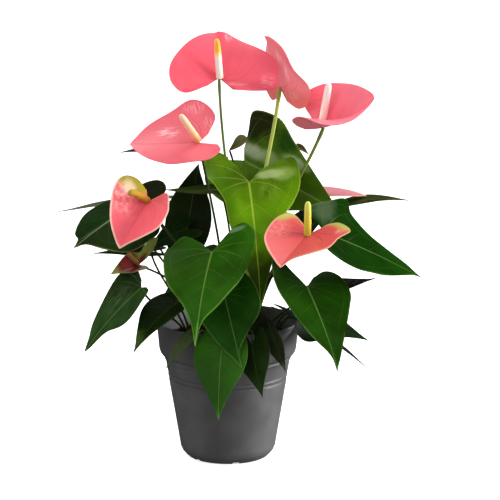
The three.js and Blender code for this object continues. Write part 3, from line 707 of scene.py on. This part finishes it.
def stalkMaterial(key):
    look = stalkGreens[key]
    skin = Finish("stalk_" + key, Specular_IOR_Level=0.3)
    share, turn, _ = skin.spot()
    streaks = skin.grain(60, 3.0, skin.node("ShaderNodeCombineXYZ", None, {0: turn * 0.05, 1: share * 0.08}))
    cloud = skin.grain(90, 3.0)
    ground = skin.blend(streaks.rise(0.35, 0.7), paint(look["skin"]), paint(look["streak"]))
    foot = 1 - share.rise(0.05, 0.3)
    skin.set("Base Color", skin.blend(foot * 0.7, ground, paint("2e2418")))
    skin.set("Roughness", 0.42 + cloud * 0.15)
    skin.bump(streaks + cloud * 0.4, 0.3, 0.0004)
    return skin.material


def spatheMaterial(name, spec, under=False):
    tint = {**usualTint, **spec["tint"]}
    wax = Finish(name + ("_under" if under else "_wax"), Specular_IOR_Level=0.35 if under else 0.5)
    across, along, reach = wax.spot()
    midrib, veins, _, quilt = veinMasks(wax, across, along, reach, thick=0.03, count=4)
    cloud, pores = wax.grain(28, 4.0), wax.grain(900, 2.0)
    top = paint(tint["under" if under else "top"])
    ground = wax.blend(cloud.rise(0.3, 0.7), shade(top, 0.94), shade(top, 1.06))
    ground = wax.blend((veins * tint["veinStrength"]).larger(midrib * 0.3), ground, paint(tint["vein"]))
    if "margin" in tint:
        ground = wax.blend((reach + cloud * 0.06).rise(0.97, 1.02) * 0.85, ground, paint(tint["margin"]))
    if "lobe" in tint:
        edge, behind = tint["lobeEdge"], cloud * 0.2 - along - 0.1
        back = behind.rise(tint["lobeFrom"], tint["lobeTo"]) * reach.rise(edge, edge + 0.25)
        if tint["lobeSide"]:
            back = back * across.rise(0.02, 0.2)
        ground = wax.blend(back, ground, paint(tint["lobe"]))
    if "blush" in tint:
        ground = wax.blend((0.06 - along + cloud * 0.1).rise(0.0, 0.25) * 0.6, ground, paint(tint["blush"]))
    wax.set("Base Color", paintMarks(wax, ground, across, along, spec["marks"]))
    wax.set("Roughness", tint["rough"] + cloud * 0.14 + (0.1 if under else 0))
    height = quilt * 0.1 - veins * 0.35 - midrib * 0.6 + cloud * 0.8 + pores * 0.03
    wax.bump(height * (-1.0 if under else 1.0), 0.35, 0.0015)
    return wax.material


def spikeMaterial(key):
    floret = Finish("spike_" + key, Specular_IOR_Level=0.25)
    share, _, raised = floret.spot()
    fine = floret.grain(1400, 2.0)
    stops = [(place, paint(colour)) for place, colour in spikes[key]]
    ground = floret.ramp(share + (fine - 0.5) * 0.08, stops)
    # painted shade: the hollows between the florets are darkened towards a deeper shade of the foot colour
    floret.set("Base Color", floret.blend((1 - raised) * 0.3, ground, shade(stops[0][1], 0.85)))
    floret.set("Roughness", 0.55 + fine * 0.15)
    floret.bump(fine, 0.3, 0.0003)
    return floret.material


stalkLooks = {key: stalkMaterial(key) for key in stalkGreens}
spikeLooks = {key: spikeMaterial(key) for key in spikes}


def addLeaf(name, spec):
    shape = Shape()
    addBlade(shape, spec)
    addStalk(shape, spec, 2)
    skins = [leafMaterial(name, spec), leafMaterial(name, spec, under=True), stalkLooks["dark"]]
    standFor(shape.piece(name + "_dressed", skins), name)


spike = dict(
    rings=84, sides=36, around=9, rows=15, relief=0.00024, floretRound=0.6,
    taper=0.14, tipRound=14, seat=0.8,
)


# a spike with its florets in crossing spiral rows
def addSpike(shape, base, spec):
    end, bow = Vector(spec["spadixEnd"]), Vector(spec.get("bow", (0, 0, 0)))
    rings, sides, radius = spike["rings"], spike["sides"], spec["spadixRadius"]
    steer = Vector((0, 0, 1)).rotation_difference((end - base).normalized())
    points, spots = [], []
    for k in range(rings + 1):
        share = k / rings
        taper = (1 - spike["taper"] * share) * math.sqrt(max(0, 1 - share ** spike["tipRound"]))
        for i in range(sides):
            turn = 2 * math.pi * i / sides
            lattice = math.cos(spike["around"] * turn + share * spike["rows"] * math.pi)
            lattice *= math.cos(spike["around"] * turn - share * spike["rows"] * math.pi)
            raised = abs(lattice) ** spike["floretRound"]
            r = max(0.02 * radius, radius * taper) + spike["relief"] * (raised * 2 - 1) * min(1, taper * 2)
            point = Vector((r * math.cos(turn), r * math.sin(turn), share * (end - base).length))
            points.append(steer @ point + base + bow * 4 * share * (1 - share))
            spots.append((share, turn, raised))
    shape.add(points, tubeFaces(rings + 1, sides), 0, spots)


def addBloom(name, spec):
    stem = Shape()
    addStalk(stem, spec, 0)
    green = spec["stalkGreen"]
    standFor(stem.piece(name + "_stem", [stalkLooks[green]]), name + "_stalk")

    bract = Shape()
    addBlade(bract, spec)
    skins = [spatheMaterial(name, spec), spatheMaterial(name, spec, under=True)]
    standFor(bract.piece(name + "_bract", skins), name + "_spathe")

    # the spike's foot is set off the spathe by its own radius, so that it doesn't come out behind
    along, face, _, _ = bladeAxes(spec)
    lift = math.radians(spec["arch"]) / 2
    facing = face * math.cos(lift) - along * math.sin(lift)
    junction, radius = Vector(spec["junction"]), spec["spadixRadius"]
    leaning = (Vector(spec["spadixEnd"]) - junction).normalized()
    tilt = math.sqrt(1 - min(1, abs(leaning.dot(facing))) ** 2)
    seat = junction + facing * (radius * (tilt + math.sin(math.radians(spec["fold"]))) * spike["seat"])
    florets = Shape()
    addSpike(florets, seat, spec)
    slot = "gold_spadix" if spec["spike"] in ("gold", "olive") else "cream_spadix"
    standFor(florets.piece(name + "_spike", [spikeLooks[spec["spike"]]]), name + "_spadix")


# Leaves: root is (direction round the crown in degrees, distance from its middle).

# painted shade: a leaf's own top colour is made darker where the leaf lies in shade among the others
leaves = {
    "bright_centre": dict(
        root=(-40, 0.01), junction=(0.021, -0.01, 0.274), tip=(0.032, -0.06, 0.161), width=0.097,
        facing=(0.1, -0.85, 0.5), arch=40, fold=6, close=-20, wave=0.002, green="bright", top="4f7701",
        vary=0.42,
        # painted shade darkens the lower half; the pale patches on the lobes are painted highlights, and one
        # patch is a darker green
        marks=[("2c4206", 0.85, "soft", 0.02, 0.9, 0.3, 0.36),
               ("c4d49c", 0.4, "soft", -0.17, -0.05, 0.13, 0.045),
               ("a8c46a", 0.35, "soft", -0.27, -0.04, 0.12, 0.07),
               ("94b23c", 0.35, "along", -0.14, 0.1, 0.1, 0.1),
               ("2f5c04", 0.5, "soft", 0.22, 0.1, 0.12, 0.24)],
        left=[(28, -11), (64, -18), (96, -16), (102, 4), (82, 21), (51, 37), (28, 67)],
        right=[(27, -19), (60, -29), (86, -19), (86, -5), (70, 4), (54, 16), (46, 42)],
    ),
    "front_left": dict(
        root=(-110, 0.024), junction=(-0.014, -0.064, 0.216), tip=(-0.029, -0.146, 0.144), width=0.096,
        facing=(-0.34, -0.52, 0.78), arch=18, fold=9, close=12, twist=6, wave=0.0015, green="fresh",
        top="1f4f01",
        # painted sheen: a pale grey-green patch on a lobe
        marks=[("7f9f78", 0.45, "soft", -0.17, -0.24, 0.12, 0.05)],
        left=[(29, -26), (51, -33), (94, -11), (97, 11), (82, 41), (47, 63), (8, 77)],
        right=[(27, -11), (66, -19), (89, -8), (97, 4), (77, 36), (37, 59), (11, 81)],
    ),
    "front_right": dict(
        root=(-36, 0.034), junction=(0.076, -0.058, 0.181), tip=(0.103, -0.134, 0.117), width=0.088,
        facing=(0.46, -0.47, 0.75), arch=14, fold=9, wave=0.0015, green="deep", top="153603", veins=0.7,
        left=[(27, -13), (67, -23), (92, -13), (101, 8), (80, 29), (44, 58), (15, 87)],
        right=[(25, -20), (56, -36), (84, -10), (99, 20), (86, 38), (45, 63), (11, 83)],
    ),
    "right_broad": dict(
        root=(-10, 0.022), junction=(0.095, -0.028, 0.227), tip=(0.189, 0.002, 0.177), width=0.101,
        facing=(0.5, -0.33, 0.8), arch=8, fold=10, close=-8, twist=-6, cup=0.05, wave=0.0015,
        arrive=(0.9, -0.2, 0.35), green="deep", top="0b2d01", veins=0.4,
        # painted sheen: a pale grey patch on the basal lobe
        marks=[("5c6a50", 0.35, "soft", -0.3, -0.02, 0.2, 0.12)],
        left=[(23, -10), (54, -17), (85, 2), (110, 20), (76, 26), (38, 47), (16, 87)],
        right=[(27, -7), (62, -10), (104, 2), (120, 21), (96, 39), (54, 60), (16, 85)],
    ),
    "front_under": dict(
        root=(-88, 0.042), junction=(-0.002, -0.076, 0.176), tip=(0.014, -0.102, 0.113), width=0.068,
        facing=(-0.08, -0.94, 0.3), arch=28, fold=9, wave=0.001, green="deep", top="123d02", vary=0.42,
        left=[(24, -16), (58, -28), (86, -10), (96, 16), (84, 36), (43, 56), (8, 76)],
        right=[(25, -17), (59, -29), (89, -14), (98, 10), (78, 31), (46, 64), (14, 88)],
    ),
    "pot_front": dict(
        root=(-104, 0.05), via=[(-0.01, -0.06, 0.1395), (-0.007, -0.071, 0.1388)],
        junction=(-0.005, -0.084, 0.127), tip=(-0.008, -0.112, 0.065), width=0.052,
        facing=(-0.19, -0.85, 0.5), arch=29, fold=4, wave=0.001, green="deep", top="2a5810",
    ),
    "pot_right": dict(
        root=(-72, 0.05), via=[(0.021, -0.063, 0.139), (0.024, -0.077, 0.14)],
        junction=(0.024, -0.08, 0.13), tip=(0.034, -0.088, 0.08), width=0.038, facing=(-0.45, -0.88, 0.1),
        arch=22, fold=7, top="192d09", vary=0.5,
    ),
    "rim_right": dict(
        root=(-52, 0.048), via=[(0.038, -0.056, 0.149)], junction=(0.038, -0.062, 0.152),
        tip=(0.056, -0.074, 0.102), width=0.034, facing=(-0.1, -0.97, 0.15), arch=30, fold=10, wave=0.001,
        top="222b14", vary=0.5,
        left=[(15, 4), (22, 10), (26, 20), (34, 32), (42, 46), (34, 66), (12, 87)],
    ),
    "left_low": dict(
        root=(196, 0.036), junction=(-0.083, -0.025, 0.173), tip=(-0.138, -0.046, 0.114), width=0.052,
        facing=(-0.55, -0.6, 0.6), arch=20, fold=12, wave=0.0015, lobes=120, green="deep", top="27421a",
        vary=0.45,
        # painted shade darkens one lobe almost to black; the pale streaky patch is painted sheen
        marks=[("0a1407", 0.9, "soft", 0.3, -0.07, 0.16, 0.14),
               ("6f8a62", 0.3, "along", 0.1, 0.25, 0.16, 0.3)],
        left=[(17, -4), (42, -2), (74, 8), (90, 27), (86, 50), (47, 66), (13, 85)],
        right=[(30, -7), (68, -11), (107, -11), (114, 4), (88, 32), (51, 68), (14, 86)],
    ),
    "left_inner": dict(
        root=(216, 0.042), junction=(-0.05, -0.042, 0.16), tip=(-0.089, -0.08, 0.122), width=0.054,
        facing=(-0.45, -0.4, 0.8), arch=32, fold=12, top="0b1a03",
        # painted sheen: lighter green towards the tip
        marks=[("3e5a1a", 0.7, "soft", 0.1, 0.95, 0.2, 0.34)],
    ),
    "left_mid": dict(
        root=(184, 0.024), junction=(-0.095, 0, 0.248), tip=(-0.145, -0.068, 0.221), width=0.085,
        facing=(0.2, -0.5, 0.83), arch=10, fold=-34, wave=0.0015, green="olive", top="12280a",
        left=[(25, -17), (60, -30), (90, -15), (91, 12), (80, 45), (48, 69), (11, 84)],
        right=[(27, -19), (64, -32), (96, -19), (98, 10), (85, 39), (51, 69), (13, 86)],
    ),
    "left_edge": dict(
        root=(160, 0.02), junction=(-0.075, 0.066, 0.242), tip=(-0.169, 0.054, 0.233), width=0.044,
        facing=(0.05, 0.02, 1), arch=8, fold=4, green="olive", top="505640",
    ),
    "back_left_upright": dict(
        root=(125, 0.024), junction=(-0.04, 0.02, 0.221), tip=(-0.029, 0.062, 0.28), width=0.046,
        facing=(0.09, -0.76, 0.65), arch=30, fold=12, top="132109",
        left=leafOutline[:4] + [(92, 36), (57, 62), (21, 86)],
    ),
    "left_upper": dict(
        root=(190, 0.012), junction=(-0.016, 0, 0.264), tip=(-0.06, -0.006, 0.266), width=0.044,
        facing=(0.05, -0.02, 1), arch=-8, fold=4, arrive=(-1, 0, 0.25), top="28370a",
    ),
    "back_broad": dict(
        root=(78, 0.02), junction=(0.016, 0.056, 0.284), tip=(0.112, 0.016, 0.238), width=0.095,
        facing=(-0.38, -0.82, 0.42), arch=38, fold=11, cup=0.03, wave=0.0015, lobes=110, green="olive",
        top="436903",
        # painted shade darkens one lobe almost to black; the whitish patches are painted highlights, and one
        # patch is a dark green
        marks=[("1a1c05", 0.95, "soft", -0.38, -0.02, 0.26, 0.22),
               ("b9c4a8", 0.55, "soft", -0.11, 0.05, 0.07, 0.13),
               ("93a87a", 0.5, "soft", -0.12, 0.2, 0.07, 0.16),
               ("c0cdae", 0.5, "soft", -0.19, 0.45, 0.06, 0.14),
               ("0e3a02", 0.9, "soft", -0.34, 0.3, 0.14, 0.14)],
        left=[(23, -5), (65, -9), (103, -8), (112, 15), (86, 34), (47, 62), (14, 87)],
        right=[(13, -14), (56, -30), (89, -14)] + leafOutline[3:],
    ),
    "right_edge": dict(
        root=(18, 0.028), junction=(0.118, 0.044, 0.243), tip=(0.178, 0.04, 0.247), width=0.048,
        facing=(0, 0, 1), arch=20, fold=4, arrive=(0.9, 0.25, 0.3), green="olive", top="243005",
    ),
    "right_small": dict(
        root=(4, 0.036), junction=(0.088, 0.028, 0.157), tip=(0.146, 0.022, 0.172), width=0.04,
        facing=(0, -0.25, 1), arch=4, fold=4, top="030702",
    ),
    "right_low": dict(
        root=(-8, 0.046), via=[(0.056, -0.008, 0.143)], junction=(0.073, -0.013, 0.142),
        tip=(0.137, -0.024, 0.12), width=0.046, facing=(0.25, -0.6, 0.75), arch=16, fold=4, top="142810",
        left=[(26, 2), (50, 4), (66, 10), (72, 25), (62, 42), (38, 65), (12, 86)],
        right=[(32, -2), (72, -4), (114, 4), (138, 20), (105, 38), (45, 62), (12, 86)],
    ),
    "right_lowest": dict(
        root=(-24, 0.05), via=[(0.057, -0.034, 0.144)], junction=(0.065, -0.044, 0.148),
        tip=(0.134, -0.06, 0.102), width=0.032, facing=(0.5, 0, 0.8), arch=12, fold=6, top="131e1a",
    ),
    "left_small": dict(
        root=(172, 0.036), junction=(-0.076, 0.028, 0.198), tip=(-0.132, 0.022, 0.197), width=0.036,
        facing=(0, -0.12, 1), arch=8, fold=4, top="171e03",
    ),
    "rim_left": dict(
        root=(-126, 0.05), via=[(-0.031, -0.056, 0.141)], junction=(-0.034, -0.072, 0.137),
        tip=(-0.058, -0.088, 0.108), width=0.02, facing=(-0.6, -0.4, 0.7), arch=24, fold=6, top="364226",
    ),
    "left_dark": dict(
        root=(208, 0.02), junction=(-0.04, 0, 0.226), tip=(-0.078, -0.006, 0.206), width=0.036,
        facing=(-0.2, -0.6, 0.8), arch=24, fold=6, top="0d2603", vary=0.45,
    ),
    "left_high": dict(
        root=(70, 0.014), junction=(-0.022, 0.04, 0.291), tip=(-0.105, 0.034, 0.296), width=0.05,
        facing=(0, -0.16, 1), arch=24, fold=4, arrive=(-0.5, 0.15, 0.8),
    ),
    "young_curled": dict(
        root=(100, 0.013), junction=(0.0018, 0.022, 0.3), tip=(0.019, 0.02, 0.313), width=0.011,
        facing=(0.3, -0.9, 0.3), arch=30, fold=24, stalkRadius=0.0009, arrive=(-0.35, 0.1, 0.93),
        green="young", top="5f6039",
        left=[(20, 6), (34, 16), (50, 28), (80, 42), (120, 58), (130, 78), (80, 93)],
        right=[(20, 6), (34, 16), (48, 30), (60, 46), (66, 62), (60, 80), (36, 95)],
    ),
    "young_back": dict(
        root=(44, 0.02), junction=(0.07, 0.066, 0.2955), tip=(0.0805, 0.062, 0.289), width=0.008,
        facing=(0.3, -0.7, 0.6), arch=20, fold=30, stalkRadius=0.0009, green="young", top="4c3f28",
    ),
    "rear_left": dict(
        root=(112, 0.038), junction=(-0.034, 0.066, 0.19), tip=(-0.044, 0.128, 0.136), width=0.056,
        facing=(-0.1, 0.6, 0.8), arch=30, fold=6, wave=0.0015, green="deep",
    ),
    "rear_right": dict(
        root=(44, 0.032), junction=(0.066, 0.064, 0.228), tip=(0.082, 0.122, 0.19), width=0.052,
        facing=(0.1, 0.5, 0.85), arch=20, fold=6, wave=0.0015, top="122901",
    ),
    "rear_high": dict(
        root=(150, 0.034), junction=(-0.091, 0.034, 0.25), tip=(-0.061, 0.035, 0.263), width=0.02,
        facing=(0.1, -0.92, 0.4), arch=24, fold=6, top="1c2610",
        left=bluntOutline, right=bluntOutline,
    ),
    "rear_outer": dict(
        root=(136, 0.04), via=[(-0.037, 0.058, 0.145)], junction=(-0.042, 0.076, 0.148),
        tip=(-0.058, 0.114, 0.09), width=0.042, facing=(-0.3, 0.85, 0.45), arch=30, fold=6, wave=0.001,
        green="deep",
    ),
    "rear_low": dict(
        root=(88, 0.048), via=[(0.002, 0.062, 0.148), (0.002, 0.076, 0.156)], junction=(0.002, 0.09, 0.156),
        tip=(0.006, 0.132, 0.086), width=0.06, facing=(0, 0.9, 0.5), arch=30, fold=6, wave=0.001,
        green="deep",
    ),
}

# Blooms: junction is where stalk, spathe and spadix meet.

blooms = {
    "top": dict(
        root=(30, 0.015), junction=(-0.008, 0.01, 0.372), tip=(-0.009, 0.038, 0.414), width=0.115,
        facing=(0.24, -0.87, 0.42), arch=22, fold=13, close=-5, twist=-5, cup=0.04, wave=0.0015, waves=7,
        stalkRadius=0.0013, arrive=(-0.02, 0, 1), spadixEnd=(-0.01, -0.004, 0.412), spike="tipped",
        stalkGreen="moss",
        tint=dict(top="e85365"),
        # painted highlights: pale pink streaks on the spathe
        marks=[("ffc4c8", 0.7, "along", 0.19, 0.86, 0.12, 0.12),
               ("ffb4b9", 0.6, "across", 0.92, -0.02, 0.16, 0.16),
               ("ffb4b9", 0.5, "across", 0.32, -0.1, 0.26, 0.05)],
        left=[(22, -18), (63, -36), (87, -22), (92, 7), (79, 34), (57, 62), (20, 90)],
        right=[(24, -21), (58, -21), (95, -16), (99, 5), (96, 34), (62, 66), (23, 91)],
    ),
    "top_right": dict(
        root=(8, 0.014), junction=(0.051, 0.04, 0.359), tip=(0.036, 0.03, 0.411), width=0.097,
        facing=(0.85, 0.43, 0.31), arch=16, fold=9, close=12, twist=12, stalkRadius=0.0019,
        arrive=(0.12, 0.3, 1), spadixEnd=(0.059, 0.054, 0.385), stalkGreen="pale",
        tint=dict(top="f0808c", under="ff8791", veinStrength=0.2, blush="c8563c"),
        # painted highlights: whitish pink streaks on the spathe
        marks=[("ffeaea", 0.85, "along", -0.22, 0.6, 0.07, 0.2),
               ("ffeaea", 0.8, "along", -0.33, 0.3, 0.07, 0.2),
               ("ffc8c4", 0.5, "along", -0.3, -0.1, 0.25, 0.1)],
        left=[(19, -23), (58, -32), (95, -15), (103, 15), (67, 41), (52, 78), (22, 98)],
        right=[(21, -22), (58, -32), (94, -16), (101, 8), (89, 41), (62, 68), (22, 90)],
    ),
    "right": dict(
        root=(-12, 0.014), junction=(0.093, 0.01, 0.324), tip=(0.14, -0.022, 0.357), width=0.092,
        facing=(-0.67, -0.16, 0.73), arch=-30, fold=50, close=-48, twist=-12, cup=-0.04, stalkRadius=0.0016,
        arrive=(0.4, 0.1, 1), spadixEnd=(0.0975, -0.006, 0.37), spadixRadius=0.0037, stalkGreen="moss",
        tint=dict(top="f07384", under="ff8592"),
        # painted highlight: a lighter pink streaked patch on one lobe
        marks=[("ff9ba4", 0.5, "along", -0.4, 0, 0.2, 0.3)],
        left=[(25, -17), (62, -30), (91, -20), (97, 10), (87, 40), (66, 69), (26, 93)],
        right=[(18, -25), (56, -28), (102, -20), (122, 3), (122, 46), (70, 72), (20, 84)],
    ),
    "left": dict(
        root=(270, 0.012), junction=(-0.027, -0.034, 0.316), tip=(-0.092, -0.042, 0.316), width=0.108,
        facing=(0.04, -0.4, 0.92), arch=-8, fold=16, close=-26, stalkRadius=0.0012, arrive=(-0.22, 0.28, 1),
        spadixEnd=(-0.044, -0.046, 0.345), spike="straw",
        tint=dict(top="db5b68"),
        # painted highlights: pale pink patches on the spathe
        marks=[("ffdadc", 0.8, "along", 0.25, 0.42, 0.13, 0.2),
               ("ffb9bf", 0.55, "across", 0.7, 0, 0.16, 0.2),
               ("ffc0c6", 0.5, "across", 0.38, -0.18, 0.16, 0.08)],
        left=[(17, -27), (54, -28), (91, -11), (101, 10), (90, 43), (61, 66), (23, 91)],
        right=[(21, -16), (61, -30), (95, -16), (104, 6), (83, 35), (58, 70), (21, 92)],
    ),
    "left_low": dict(
        root=(212, 0.014), junction=(-0.075, -0.056, 0.263), tip=(-0.101, -0.082, 0.223), width=0.071,
        facing=(-0.18, -0.83, 0.54), arch=12, fold=30, close=8, twist=8, stalkRadius=0.0014,
        arrive=(-0.2, -0.7, 0.65), spadixEnd=(-0.091, -0.082, 0.276), bow=(-0.003, 0, 0.003), spike="gold",
        tint=dict(top="f96673", margin="f6d2ba", lobe="a89a30", lobeSide=1, lobeFrom=-0.1, lobeTo=0.06,
                  lobeEdge=0.05),
        marks=[("f8dccc", 0.6, "mottled", 0.55, 0.2, 0.22, 0.42),
               ("f4dcb8", 0.7, "soft", 0.42, -0.02, 0.14, 0.14),
               ("f6e0d0", 0.4, "mottled", 0.3, 0.25, 0.24, 0.3),
               ("e04458", 0.45, "soft", 0.1, 0.2, 0.12, 0.2),
               ("d86a50", 0.5, "soft", -0.27, -0.06, 0.12, 0.1)],
        left=[(17, -11), (48, -23), (81, -1), (96, 18), (93, 46), (61, 67), (20, 87)],
        right=[(21, -17), (58, -24), (91, -15), (102, 9), (86, 39), (60, 69), (21, 92)],
    ),
    "right_low": dict(
        root=(-50, 0.024), junction=(0.076, -0.072, 0.234), tip=(0.05, -0.122, 0.213), width=0.082,
        facing=(-0.1, -0.37, 0.93), arch=6, fold=12, close=9, twist=-5, cup=-0.04, stalkRadius=0.0014,
        arrive=(0.3, -0.75, 0.6), spadixEnd=(0.076, -0.082, 0.268), spike="olive",
        tint=dict(top="d44e4c", vein="a03440", margin="e0a088", lobe="b8b050", lobeSide=0,
                  lobeFrom=0.08, lobeTo=0.26, lobeEdge=0.66, veinStrength=0.45),
        marks=[("ffb3a8", 0.4, "mottled", 0.45, 0.1, 0.22, 0.3),
               ("eeb090", 0.7, "along", -0.53, -0.16, 0.14, 0.16),
               ("b83c48", 0.5, "soft", 0.12, 0, 0.25, 0.25)],
        left=[(26, -37), (53, -43), (98, -20), (88, 8), (87, 45), (58, 64), (16, 79)],
        right=[(29, -26), (71, -45), (92, -26), (94, 5), (83, 40), (58, 66), (21, 90)],
    ),
    "far_right": dict(
        root=(12, 0.02), junction=(0.09, 0.05, 0.252), tip=(0.137, 0.054, 0.2485), width=0.034,
        facing=(0, -0.12, 1), arch=16, fold=6, stalkRadius=0.0012, spadixEnd=(0.089, 0.056, 0.264),
        spadixRadius=0.0026,
        tint=dict(top="bf757c", margin="d8a488"),
    ),
    "bud_left": dict(
        root=(190, 0.018), junction=(-0.085, -0.044, 0.199), tip=(-0.111, -0.056, 0.193), width=0.034,
        facing=(-0.2, -0.75, 0.6), arch=14, fold=22, stalkRadius=0.0011, arrive=(-0.9, -0.25, 0.35),
        spadixEnd=(-0.095, -0.05, 0.212), spadixRadius=0.0022, spike="amber",
        tint=dict(top="5a140e", vein="40100c", margin="6f7434", lobe="5a6a22", lobeSide=0,
                  lobeFrom=-0.05, lobeTo=0.15),
        marks=[("7a7e38", 0.85, "soft", 0.05, 0.95, 0.3, 0.34),
               ("8a2a22", 0.5, "soft", 0.15, 0.35, 0.2, 0.25)],
        left=[(16, -21), (42, -25), (50, -10), (50, 10), (48, 35), (30, 60), (10, 85)],
        right=[(31, -37), (94, -79), (148, -96), (116, -48), (73, -18), (83, 22), (36, 70)],
    ),
}


# Studio: a pale floor under an even sky, and soft lamps; potShine gives the pot alone its reflection.

studio = dict(
    floor="f8f8f7", floorSize=30, floorGlow=0.55, skyAbove=0.95, skyBelow=0.5, skyFade=0.35,
    cameraPlace=(0.0218, -2.3518, 0.6836), pitch=11.5, lens=177.48,
)
lamps = {
    "keyRight": dict(place=(1.5, 0.0, 0.5), aim=(0, 0, 0.2), size=0.9, power=38, gloss=False),
    "rimLeft": dict(place=(-1.5, 0.4, 0.5), aim=(0, 0, 0.2), size=0.7, power=9, gloss=False),
    "potShine": dict(place=(1.5, 0.0, 0.5), aim=(0, 0, 0.1), size=0.9, power=34, gloss=True, only="potBody"),
    "topBack": dict(place=(0.2, 0.7, 1.7), aim=(0, 0, 0.25), size=0.8, power=10, gloss=True),
    "frontLeft": dict(place=(-0.9, -2.0, 1.5), aim=(0, 0, 0.25), size=0.8, power=10, gloss=False),
}


def makeStudio():
    matt = Finish("floorPaper", Roughness=0.9, Specular_IOR_Level=0.1)
    matt.set("Base Color", matt.blend(matt.grain(3, 2.0) * 0.02, paint(studio["floor"]), (1, 1, 1, 1)))
    matt.set("Emission Color", (1, 1, 1, 1))
    matt.set("Emission Strength", studio["floorGlow"])
    half = studio["floorSize"] / 2
    corners = [(-half, -half, 0), (half, -half, 0), (half, half, 0), (-half, half, 0)]
    floor = addMesh("studioFloor", corners, [[0, 1, 2, 3]], [matt.material])
    floor.visible_glossy = floor.visible_diffuse = False

    world = bpy.data.worlds.new("studioSky")
    world.use_nodes = True
    sky = world.node_tree.nodes["Background"]
    sky.inputs["Color"].default_value = (1, 1, 1, 1)
    # brighter overhead than from the side and below
    height = world.node_tree.nodes.new("ShaderNodeSeparateXYZ")
    fall = world.node_tree.nodes.new("ShaderNodeMapRange")
    fall.interpolation_type = "SMOOTHSTEP"
    fade = studio["skyFade"]
    ends = {"From Min": -fade, "From Max": fade, "To Min": studio["skyBelow"], "To Max": studio["skyAbove"]}
    for socket, value in ends.items():
        fall.inputs[socket].default_value = value
    direction = world.node_tree.nodes.new("ShaderNodeTexCoord").outputs["Generated"]
    for start, end in ((direction, height.inputs[0]), (height.outputs["Z"], fall.inputs["Value"]),
                       (fall.outputs["Result"], sky.inputs["Strength"])):
        world.node_tree.links.new(start, end)
    world.cycles_visibility.glossy = False
    bpy.context.scene.world = world

    for name, lamp in lamps.items():
        light = bpy.data.lights.new(name, "AREA")
        light.shape, light.size, light.energy = "SQUARE", lamp["size"], lamp["power"]
        holder = bpy.data.objects.new(name, light)
        holder.location = lamp["place"]
        holder.visible_glossy = lamp["gloss"]
        aim = Vector(lamp["aim"]) - Vector(lamp["place"])
        holder.rotation_euler = aim.to_track_quat("-Z", "Y").to_euler()
        bpy.context.scene.collection.objects.link(holder)
        if "only" in lamp:
            lit = bpy.data.collections.new(name + "Lit")
            lit.objects.link(bpy.data.objects[lamp["only"]])
            holder.light_linking.receiver_collection = lit

    view = bpy.data.cameras.new("photoView")
    view.sensor_width, view.lens = 36, studio["lens"]
    view.clip_end = 40
    camera = bpy.data.objects.new("photoView", view)
    camera.location = studio["cameraPlace"]
    camera.rotation_euler = (math.radians(90 - studio["pitch"]), 0, 0)
    bpy.context.scene.collection.objects.link(camera)
    bpy.context.scene.camera = camera
    bpy.context.scene.view_settings.view_transform = "Standard"


makePot()
makeSoil()
print("pot and soil done")
for name, spec in leaves.items():
    addLeaf("leaf_" + name, {**usualBlade, **usualLeaf, **spec})
print("leaves done:", len(leaves))
for name, spec in blooms.items():
    addBloom("bloom_" + name, {**usualBlade, **usualBloom, **spec})
print("blooms done:", len(blooms))
makeStudio()
print("studio done")
